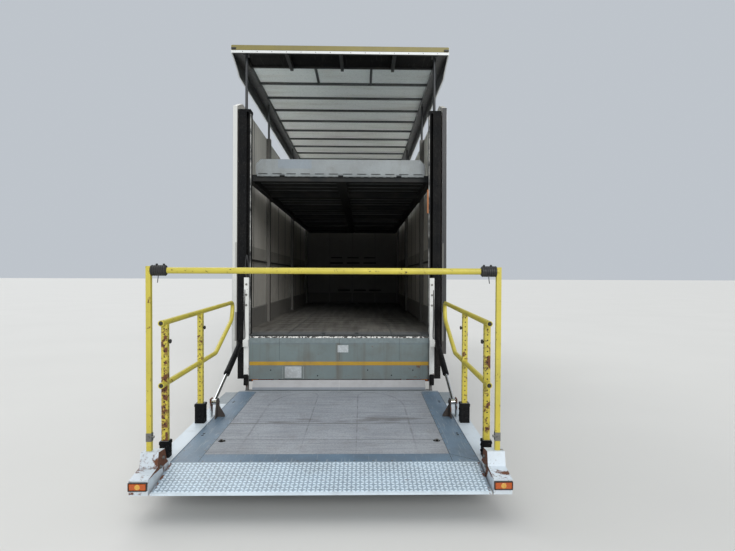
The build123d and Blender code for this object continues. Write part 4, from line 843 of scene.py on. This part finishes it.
# Clevis plates beside the tilt rods' eyes, shackles in the deck
PLATE_X = 1.106
SIDEWAYS = Matrix(((0, 0, 1, 0), (1, 0, 0, 0), (0, 1, 0, 0), (0, 0, 0, 1)))
FROM_BEHIND = Matrix(((1, 0, 0, 0), (0, 0, -1, 0), (0, 1, 0, 0), (0, 0, 0, 1)))
ears = Shape("tilt_clevis", "platform", "rusted", slot="white_paint")
shackles = Shape("lashing_shackles", "platform", "steel", DECK)
ear = [(-5.2, 0.312), (-5.02, 0.316), (-5.066, 0.468), (-5.082, 0.486), (-5.136, 0.486), (-5.152, 0.468)]
web = ((PLATE_X, 0.44), (PLATE_X, 0.314), (1.04, 0.314), (1.04, 0.33))
bow = [(0.016 * cos(pi * i / 8), 0.024 * sin(pi * i / 8)) for i in range(9)]
for side in SIDES:
    ears.prism(ear, *sorted((side * PLATE_X, side * 1.115)), SIDEWAYS)
    ears.prism([(side * x, z) for x, z in web], 5.104, 5.116, FROM_BEHIND)
    pin = [(0.02, 0), (0.02, 0.008), (0.014, 0.012)]
    ears.dome(pin, 0.012, (side * PLATE_X, -5.109, 0.454), (-side, 0, 0), 18)
    arc = [(side * SHACKLE_X + x, -1.846, DECK_TOP - 0.004 + z) for x, z in bow]
    shackles.tube(arc, 0.004, 10, 3)
ears.done()
shackles.done()

# Lift carriage: hinge blocks at the arms' feet, hoses, bolts
feet = Shape("arm_feet", "carriage", "black_steel")
for side in SIDES:
    feet.box((1.052, 1.1), (-0.074, -0.046), (0.395, 0.52), 0.004, side)
    feet.box((1.058, 1.094), (-0.082, -0.07), (0.415, 0.47), 0.004, side)
    nut = [(0.026, 0), (0.026, 0.008), (0.018, 0.014)]
    feet.dome(nut, 0.014, (side * 1.076, at(-0.074), 0.495), BACK, 6)
feet.done()
hoses = Shape("carriage_hoses", "carriage", "plastic")
loop = ((-1.074, 1.6), (-1.092, 1.76), (-1.078, 1.9), (-1.06, 1.78), (-1.064, 1.6))
hoses.tube([(x, at(-0.022), z) for x, z in loop], 0.008, 10)
drop = ((1.094, -0.038, 1.5), (1.098, -0.046, 1.2), (1.092, -0.046, 0.98), (1.097, -0.046, 0.93))
for side in SIDES:
    hoses.tube([(side * x, at(d), z) for x, d, z in drop], 0.006, 10)
hoses.done()
arm_bolts = Shape("carriage_bolts", "carriage", "steel")
for side in SIDES:
    for z in (1.32, 1.44, 1.56):
        arm_bolts.bolt((side * 1.078, at(-0.042), z), BACK, 0.011, 0.008)
    pin = [(0.022, 0), (0.022, 0.006), (0.014, 0.009)]
    arm_bolts.dome(pin, 0.009, (side * 1.162, at(-0.05), 0.88), (side, 0, 0), 20)
arm_bolts.done()

# Lift columns
edge = ((1.041, 1.0495), (0.002, 0.034), (0.98, 3.55), 0.002)
boxes("column_edges", "chassis", "streaked_edge", [edge], SIDES)
column_bolts = Shape("column_bolts", "chassis", "black_steel")
for side in SIDES:
    for step in range(13):
        column_bolts.bolt((side * 1.15, at(0), 0.62 + 0.235 * step), BACK, 0.008, 0.006)
    for dx in (-0.04, 0.045):
        for d in (0.03, 0.13):
            column_bolts.bolt((side * (1.117 + dx), at(d), 3.605), UP, 0.01, 0.008)
column_bolts.done()
band = ((1.022, 1.0405), (0.004, 0.009), (2.43, 2.68), 0.001)
buckle = ((1.02, 1.0405), (-0.001, 0.012), (2.4, 2.44), 0.003)
boxes("column_strap", "chassis", "strap", [band, buckle])

# Threshold panel: strip, blank plates, holes, seams
strip = ((-1.046, 1.046), (-0.0022, -0.0008), (0.617, 0.66), 0.0006)
boxes("threshold_strip", "chassis", "strip_yellow", [strip])
rows = [
    ((-0.636, -0.442), (-0.0024, -0.0008), (0.47, 0.604), 0.0006),
    ((-0.022, 0.104), (-0.0024, -0.0008), (0.768, 0.852), 0.0006),
]
rows += [(around(x, 0.0015), (-0.0015, 0.0005), (0.46, 0.6), 0.0004) for x in (-0.66, -0.42)]
boxes("threshold_parts", "chassis", "zinc_light", rows)
sill_holes = Shape("threshold_holes", "chassis", "dark_hole")
for x, z in ((-0.452, 0.575), (-0.255, 0.495), (0.33, 0.56), (0.61, 0.5), (-0.8, 0.56), (0.86, 0.56)):
    sill_holes.dome([(0.008, 0), (0.007, 0.0012)], 0.0012, (x, at(-0.0002), z), BACK, 14)
for x in (-0.7, 0.0, 0.7):
    sill_holes.box(around(x, 0.001), (-0.0012, 0.0005), (0.68, 0.93), 0.0003)
sill_holes.done()

# Inside walls: lashing rails, panel joints, front wall frames
rails = Shape("lashing_rails", "chassis", "steel")
slots = Shape("lashing_slots", "chassis", "dark_hole")
joints = Shape("wall_joints", "chassis", "post_grey")
for side in SIDES:
    for start, end in ((0.2, 1.945), (2.055, 4.795), (4.905, 7.645), (7.755, 8.13)):
        rails.box((1.1795, 1.183), (start, end), (1.849, 1.881), side=side)
        for step in range(int((end - start - 0.06) / 0.09)):
            ds = around(start + 0.06 + 0.09 * step, 0.022)
            slots.box((1.1788, 1.1812), ds, (1.857, 1.873), 0.0007, side)
    for d in (1.0, 3.2, 4.0, 5.7, 6.6):
        for zs in ((1.24, 1.838), (1.892, 3.745)):
            joints.box((1.1985, 1.2005), around(d, 0.02), zs, side=side)
rails.done()
slots.done()
rows = []
for z, half, middles in (
    (2.02, 0.17, (-0.42, 0.02, 0.46)),
    (2.16, 0.15, (-0.42, 0.02, 0.46)),
    (1.3, 0.16, (-0.22, 0.2, 0.6)),
):
    rows += [(around(x, half), (8.1382, 8.1402), around(z, 0.018)) for x in middles]
boxes("front_wall_slots", "chassis", "dark_hole", rows)
for x in (-0.6, 0.0, 0.6):
    joints.box(around(x, 0.015), (8.1385, 8.1405), (0.98, 3.745))
joints.done()

# Load floor: ribs along and across, worn edge, dark lip
RIB_Z = 0.9695
rows = [(around(x, 0.004), (0.01, 8.13), (RIB_Z, 0.9725)) for x in (-0.62, 0.62)]
rows += [(around(x, 0.02), (0.002, 0.3), (RIB_Z, 0.9715)) for x in (-1.0, -0.2, 0.2, 1.0)]
rows += [((-1.03, 1.03), around(0.38 + step * 0.4, 0.003), (RIB_Z, 0.9718), 0.0006) for step in range(20)]
boxes("floor_ribs", "chassis", "zinc", rows)
edge = ((-1.045, 1.045), (-0.0025, -0.0003), (0.936, 0.954))
boxes("floor_edge", "chassis", "worn_edge", [edge])
lip = ((-1.045, 1.045), (-0.0015, -0.0003), (0.955, 0.968), 0.0006)
boxes("floor_lip", "chassis", "dark_hole", [lip])

# Outer walls: rails, corner strips, rivets and side marker lamps
SKIN_X = 1.2495
borders = (
    ((0.002, 8.198), (0.752, 0.905)),
    ((0.3, 8.198), (3.69, 3.748)),
    ((8.125, 8.198), (0.905, 3.69)),
    ((0.002, 0.06), (0.905, 3.62)),
)
rows = [((SKIN_X, 1.2535), ds, zs, 0.0012) for ds, zs in borders]
rows += [((SKIN_X, 1.2512), around(d, 0.02), (0.905, 3.69)) for d in (1.37, 2.74, 4.11, 5.48, 6.85)]
boxes("wall_rails", "chassis", "aluminium", rows, SIDES)
rivets = Shape("wall_rivets", "chassis", "aluminium")
for side in SIDES:
    for step in range(54):
        d = 0.12 + 0.15 * step
        for z in (0.885, 3.705) if d >= 0.4 else (0.885,):
            rivets.dome([(0.006, 0), (0.0045, 0.002)], 0.0028, (side * 1.2533, at(d), z), (side, 0, 0), 8)
rivets.done()
rows = [((1.253, 1.262), around(d, 0.045), (0.8, 0.832), 0.004) for d in (0.25, 2.2, 4.4, 6.4, 8.0)]
boxes("side_markers", "chassis", "amber_side", rows, SIDES)

# Roof: rear fascia in two colours, end markers, black sheets of painted shade under the hood, bolts and
# rivets
FASCIA_X, FASCIA_D = (-1.272, 1.272), (-0.0102, -0.0075)
upper = (FASCIA_X, FASCIA_D, (4.291, 4.348), 0.001)
boxes("roof_fascia", "roof", "fascia", [upper])
lower = (FASCIA_X, FASCIA_D, (4.258, 4.288), 0.001)
boxes("roof_fascia_foot", "roof", "box_white", [lower])
marker = ((1.215, 1.27), (-0.022, -0.0098), (4.296, 4.318), 0.003)
boxes("roof_end_markers", "roof", "plastic", [marker], SIDES)
# Painted shade: black sheets in the hood's bays and behind the fascia
bays = ((-1.148, -0.662), (-0.618, -0.022), (0.022, 0.618), (0.662, 1.148))
rows = [(xs, (0.024, 0.578), (4.33, 4.3358), 0.001) for xs in bays]
rows.append(((-1.15, 1.15), (0.0225, 0.0255), (4.262, 4.33), 0.001))
boxes("hood_painted_shade", "roof", "black_steel", rows)
roof_bolts = Shape("roof_bolts", "roof", "steel")
for side in SIDES:
    for step in range(13):
        for x in (1.175, 1.225):
            roof_bolts.bolt((side * x, at(0.595 + 0.61 * step), 4.27), DOWN, 0.009, 0.006)
    for step in range(7):
        spot = (side * (0.12 + step * 0.17), at(FASCIA_D[0]), 4.273)
        roof_bolts.dome([(0.006, 0), (0.005, 0.002)], 0.0025, spot, BACK, 8)
roof_bolts.done()

# Upper deck and its flap
AXIS_D, AXIS_Z = 0.174, 2.863
KNUCKLE = [(0.0145, 0), (0.0155, 0.002), (0.0155, 0.038), (0.0145, 0.04)]
knuckles = Shape("flap_knuckles", "flap", "flap_grey")
for start, end in ((-1.0, -0.735), (-0.665, -0.035), (0.035, 0.665), (0.735, 1.0)):
    count = int((end - start) / 0.09)
    for step in range(count):
        x = start + (end - start) * (step + 0.25) / count
        knuckles.dome(KNUCKLE, 0.04, (x, at(AXIS_D), AXIS_Z), "X", 16)
knuckles.done()
flap_slots = Shape("flap_slots", "flap", "dark_hole")
lean = moved(0, at(AXIS_D), AXIS_Z) @ turned(-radians(4), "X")
for step in range(12):
    xs = around(-0.93 + step * 0.169, 0.055)
    flap_slots.block(xs, (-0.0145, -0.0115), (0.018, 0.024), 0.0006, lean)
flap_slots.done()
halves = ((-1.05, -0.065), (0.065, 1.05))
rows = []
for step in range(26):
    rows += [(xs, around(0.42 + step * 0.29, 0.004), (2.857, 2.8632), 0.001) for xs in halves]
boxes("deck_ribs", "deck", "zinc", rows)

# Wheels: tyres with ribs, grooves and shoulder blocks, nuts and hub caps

TYRE_RADIUS = 0.42
TYRE_STEPS = 160


def tyre_mesh(shape, centre):
    """Ring of a truck tyre: outer skin with grooves and blocks, closed by the bead and the inside."""
    flank = [(-0.0975, 0.249), (-0.0985, 0.262), (-0.104, 0.268), (-0.112, 0.29), (-0.1205, 0.32)]
    flank += [(-0.1215, 0.345), (-0.1205, 0.368), (-0.1145, 0.385), (-0.1065, 0.402), (-0.1015, 0.4105)]
    outline = flank + [(-0.09, TYRE_RADIUS - 0.004)]
    for edge in (-0.06, -0.022, 0.022, 0.06):
        skin = TYRE_RADIUS - 0.0012 - abs(edge) * 0.02
        groove = [(x, TYRE_RADIUS - 0.011) for x in around(edge, 0.0045)]
        outline += [(edge - 0.0055, skin), *groove, (edge + 0.0055, skin)]
    outline.append((0.09, TYRE_RADIUS - 0.004))
    outline += [(-x, r) for x, r in reversed(flank)]
    inside = [(0.09, 0.3), (0.098, 0.345), (0.08, 0.388)]
    outline += inside + [(-x, r) for x, r in reversed(inside)]
    verts = []
    for i, angle in enumerate(turns(TYRE_STEPS)):
        for x, r in outline:
            if i % 4 == 0 and 0.07 < abs(x) < 0.11 and r > 0.4:
                r -= 0.009
            zig = 0.003 * (1 if (i // 4) % 2 else -1) if abs(x) < 0.07 and r > 0.4 else 0
            verts.append((x + zig, r * cos(angle), r * sin(angle)))
    shape.add(verts, skin_faces(len(outline), TYRE_STEPS, True), moved(*centre))
    bead = [(0.355, 0.0), (0.357, 0.0012), (0.361, 0.0012), (0.363, 0.0)]
    ring = [(r, 0.1208 + lift - 0.0002) for r, lift in bead] + [(0.359, 0.119)]
    for way in (-1, 1):
        shape.lathe(ring + ring[:1], centre, (way, 0, 0), 64)


def bolt_circle(shape, side, x, y, count, radius, size, height):
    """Bolts on a circle about the wheel's axis."""
    for a in turns(count):
        shape.bolt((x, y + radius * cos(a), TYRE_RADIUS + radius * sin(a)), (side, 0, 0), size, height)


# End, wheel's body, tyre's node, d, tyre places, nut face, nut circle, cap face, cap radius, cap height
AXLES = (
    ("front", "wheel_front", "tyre", 9.3, (1.03,), 1.097, 0.115, 1.148, 0.052, 0.009),
    ("rear", "wheels_rear", "tyres", 3.1, (0.785, 1.07), 0.927, 0.13, 1.1775, 0.055, 0.008),
)
for end, body, tyre, d, places, face, circle, cap, cap_radius, cap_height in AXLES:
    for side_name, side in (("left", -1), ("right", 1)):
        name, rides = f"{end}_{side_name}", f"{body}_{side_name}"
        tread = Shape(name + "_tread", rides, "rubber", slot="tyre_rubber")
        for x in places:
            tyre_mesh(tread, (side * x, at(d), TYRE_RADIUS))
        tread.done([f"{name}_{tyre}"])
        nuts = Shape(name + "_nuts", rides, "steel")
        bolt_circle(nuts, side, side * face, at(d), 10, circle, 0.016, 0.024)
        cap_rings = [(cap_radius, 0), (cap_radius, 0.003), (cap_radius - 0.007, cap_height)]
        nuts.dome(cap_rings, cap_height + 0.001, (side * cap, at(d), TYRE_RADIUS), (side, 0, 0), 32)
        if end == "rear":
            bolt_circle(nuts, side, side * cap, at(d), 8, 0.058, 0.006, 0.005)
        nuts.done()

# Chassis: rail bolts, air lines, tail lamp segments, blank plate
rail_bolts = Shape("rail_bolts", "chassis", "steel")
air_lines = Shape("air_lines", "chassis", "plastic")
for side in SIDES:
    for step in range(38):
        for z in (0.6, 0.78):
            rail_bolts.bolt((side * 0.43, at(0.45 + 0.25 * step), z), (side, 0, 0), 0.009, 0.007)
    for x, z, wave, radius in ((0.34, 0.745, sin, 0.007), (0.338, 0.72, cos, 0.006)):
        points = [(side * x, at(d), z + 0.006 * wave(d * 2)) for d in (0.5, 2, 4, 6, 8, 10.2)]
        air_lines.tube(points, radius, 8)
rail_bolts.done()
air_lines.done()
LAMP_D, LAMP_Z = (0.2128, 0.2152), (0.398, 0.482)
amber = ((0.985, 1.058), LAMP_D, LAMP_Z, 0.001)
boxes("tail_segments", "chassis", "amber_side", [amber], SIDES)
clear = ((0.742, 0.8), LAMP_D, LAMP_Z, 0.001)
boxes("tail_reverse", "chassis", "clear_lens", [clear], SIDES)
plate = ((-0.26, 0.26), (0.2545, 0.2602), (0.385, 0.495), 0.002)
boxes("blank_plate", "chassis", "box_white", [plate])

# Cab: windscreen's seal and wipers, in a frame that lies in the glass
SCREEN_FOOT = Vector((0, at(10.57), 1.72))
SCREEN_TOP = Vector((0, at(10.34), 2.58))
rise = (SCREEN_TOP - SCREEN_FOOT).normalized()
out = Vector((0, rise.z, -rise.y))
screen = moved(*(SCREEN_FOOT + SCREEN_TOP) / 2) @ Matrix(
    ((1, 0, 0, 0), (0, rise.y, out.y, 0), (0, rise.z, out.z, 0), (0, 0, 0, 1))
)
half_rise = (SCREEN_TOP - SCREEN_FOOT).length / 2 - 0.055
seal = Shape("screen_seal", "cab", "rubber")
for xs, ys in bars(1.075, half_rise - 0.004, 1.085, half_rise + 0.006, half_rise):
    seal.block(xs, ys, (-0.012, 0.002), 0.003, screen)
seal.done()
wipers = Shape("wipers", "cab", "plastic")
arm = ((0.3, 0, 0.012), (0.15, 0.11, 0.014), (-0.02, 0.22, 0.008))
blade = ((-0.26, 0.05, 0.004), (-0.02, 0.22, 0.004), (0.22, 0.39, 0.004))
foot_y = -half_rise - 0.02
for x in (-0.72, 0.0, 0.72):
    for line in (arm, blade):
        wipers.tube([(x + dx, foot_y + dy, z) for dx, dy, z in line], 0.006, 8, 4, screen)
    pivot = [(0.02, 0), (0.02, 0.012), (0.014, 0.018)]
    wipers.dome(pivot, 0.019, (x + 0.3, foot_y, 0.0), "Z", 16, screen)
wipers.done()

# Front: headlamp bowls, turn lamps, grille slats
BOWL = 0.055
ring = [(BOWL, 0), (BOWL, 0.002), (BOWL - 0.006, 0.003), (BOWL - 0.014, 0.001), (BOWL - 0.016, 0)]
bowls = Shape("headlamp_bowls", "chassis", "chrome")
for side in SIDES:
    for dx in (-0.085, 0.055):
        spot = (side * (0.87 + dx), at(10.6738), 0.48)
        bowls.lathe(ring + ring[:1], spot, (0, 1, 0), 32)
        bowls.dome([(0.012, 0), (0.01, 0.003)], 0.004, spot, (0, 1, 0), 20)
bowls.done()
lamp = ((1.005, 1.042), (10.6725, 10.6765), (0.42, 0.54), 0.0015)
boxes("turn_lamps", "chassis", "amber_side", [lamp], SIDES)
rows = [((-0.7, 0.7), (10.645, 10.6535), around(0.94 + 0.09 * step, 0.008), 0.003) for step in range(5)]
rows += [(around(x, 0.012), (10.645, 10.656), (0.86, 1.46), 0.004) for x in (-0.755, 0.755)]
boxes("grille_slats", "cab", "plastic", rows)

# Mirrors, roof lamps, sun visor, door handles
rows = [((1.288, 1.452), (10.4385, 10.4405), zs, 0.0009) for zs in ((1.86, 2.07), (2.085, 2.36))]
boxes("mirror_glass", "cab", "mirror", rows, SIDES)
rows = [(around(x, 0.045), (9.66, 9.7), (3.212, 3.238), 0.007) for x in (-0.9, -0.3, 0.3, 0.9)]
boxes("roof_lamps", "cab", "amber_side", rows)
visor = Shape("sun_visor", "cab", "plastic")
section = [(0, 0), (0.1, -0.02), (0.19, -0.075), (0.196, -0.07), (0.103, -0.012), (0, 0.008)]
across = turned(pi / 2, "Z") @ turned(pi / 2, "X")
visor.prism(section, 0, 2.04, moved(-1.02, at(10.175), 2.985) @ across)
for x in (-0.95, 0.0, 0.95):
    visor.box(around(x, 0.012), (10.165, 10.245), (2.955, 2.985), 0.003)
visor.done()
rows = [
    ((1.199, 1.212), (9.48, 9.64), (1.48, 1.525), 0.004),
    ((1.212, 1.226), (9.495, 9.625), (1.492, 1.512), 0.005),
    ((1.199, 1.203), (9.56, 9.8), (1.66, 1.668), 0.001),
    ((1.199, 1.203), (9.86, 10.1), (1.66, 1.668), 0.001),
]
for name, side in (("left", -1), ("right", 1)):
    boxes(f"door_handle_{name}", f"door_{name}", "plastic", rows, (side,))

# Steps, tank parts, mud flaps
bumper_step = Shape("bumper_step", "chassis", "plastic")
for start, end in ((-1.165, -0.545), (-0.335, 0.335), (0.545, 1.165)):
    bumper_step.block((start, end), (6.5, 6.7), (0.5725, 0.5825), 0.003)
    for step in range(6):
        y = 6.515 + 0.033 * step
        bumper_step.block((start + 0.03, end - 0.03), (y, y + 0.012), (0.582, 0.5855), 0.0015)
bumper_step.done()
rows = []
for z in (0.7, 0.89):
    for row in range(4):
        rows.append((around(1.075 + 0.03 * row, 0.006), (9.92, 10.36), (z - 0.0005, z + 0.004), 0.0015))
boxes("step_treads", "cab", "aluminium", rows, SIDES)
tank = Shape("tank_parts", "chassis", "plastic")
tank.dome([(0.047, 0), (0.047, 0.016), (0.04, 0.022)], 0.023, (-0.98, at(7.9), 0.835), "Z", 28)
for d in (7.45, 7.95):
    tank.box((1.0995, 1.108), around(d, 0.02), (0.62, 0.7), 0.002)
tank.done()
rear_flap = ((0.7, 1.18), (2.64, 2.646), (0.16, 0.6), 0.002)
front_flap = ((0.9, 1.17), (8.7, 8.706), (0.2, 0.86), 0.002)
boxes("mud_flaps", "chassis", "rubber", [rear_flap, front_flap], SIDES)

# Stage: pale floor, soft studio light
REACH = 400
floor_mesh = bpy.data.meshes.new("studio_floor")
corners = [(x * REACH, y * REACH, 0) for x, y in ((-1, -1), (1, -1), (1, 1), (-1, 1))]
floor_mesh.from_pydata(corners, [], [(0, 1, 2, 3)])
floor = linked("studio_floor", floor_mesh)
g = Graph("studio_floor", "d9d7d2")
g.paint(g.noise(0.4, 3), "d2d0cb")
g.surface(0.8)
floor_mesh.materials.append(g.material)

world = bpy.data.worlds.new("studio")
world.use_nodes = True
background = world.node_tree.nodes["Background"].inputs
background["Color"].default_value = rgb("dfe6ee")
background["Strength"].default_value = 0.7
scene.world = world

# Lights: direction, power, spread in degrees
for name, direction, power, spread in (
    ("key", (-0.3, 1.0, -0.42), 1.6, 25),
    ("fill", (0.5, -0.9, -0.8), 0.8, 45),
    ("top", (0.1, 0.1, -1.0), 0.6, 60),
):
    data = bpy.data.lights.new(name, "SUN")
    data.energy = power
    data.angle = radians(spread)
    linked(name, data).rotation_euler = Vector(direction).to_track_quat("-Z", "Y").to_euler()
scene.view_settings.view_transform = "Standard"

# Camera at the photograph's place; the focal length is 550 of its 735 pixels across
SENSOR = 36
camera_data = bpy.data.cameras.new("photo_camera")
camera_data.sensor_width = SENSOR
camera_data.lens = 550 * SENSOR / 735
camera_data.shift_x = -0.0086
camera = linked("photo_camera", camera_data)
yaw_right, pitch_up, roll = radians(1.2), radians(0.16), radians(-0.2)
camera.location = (0.264, REAR_Y - 6.44, 1.65)
camera.rotation_euler = (pi / 2 + pitch_up, roll, -yaw_right)
scene.camera = camera
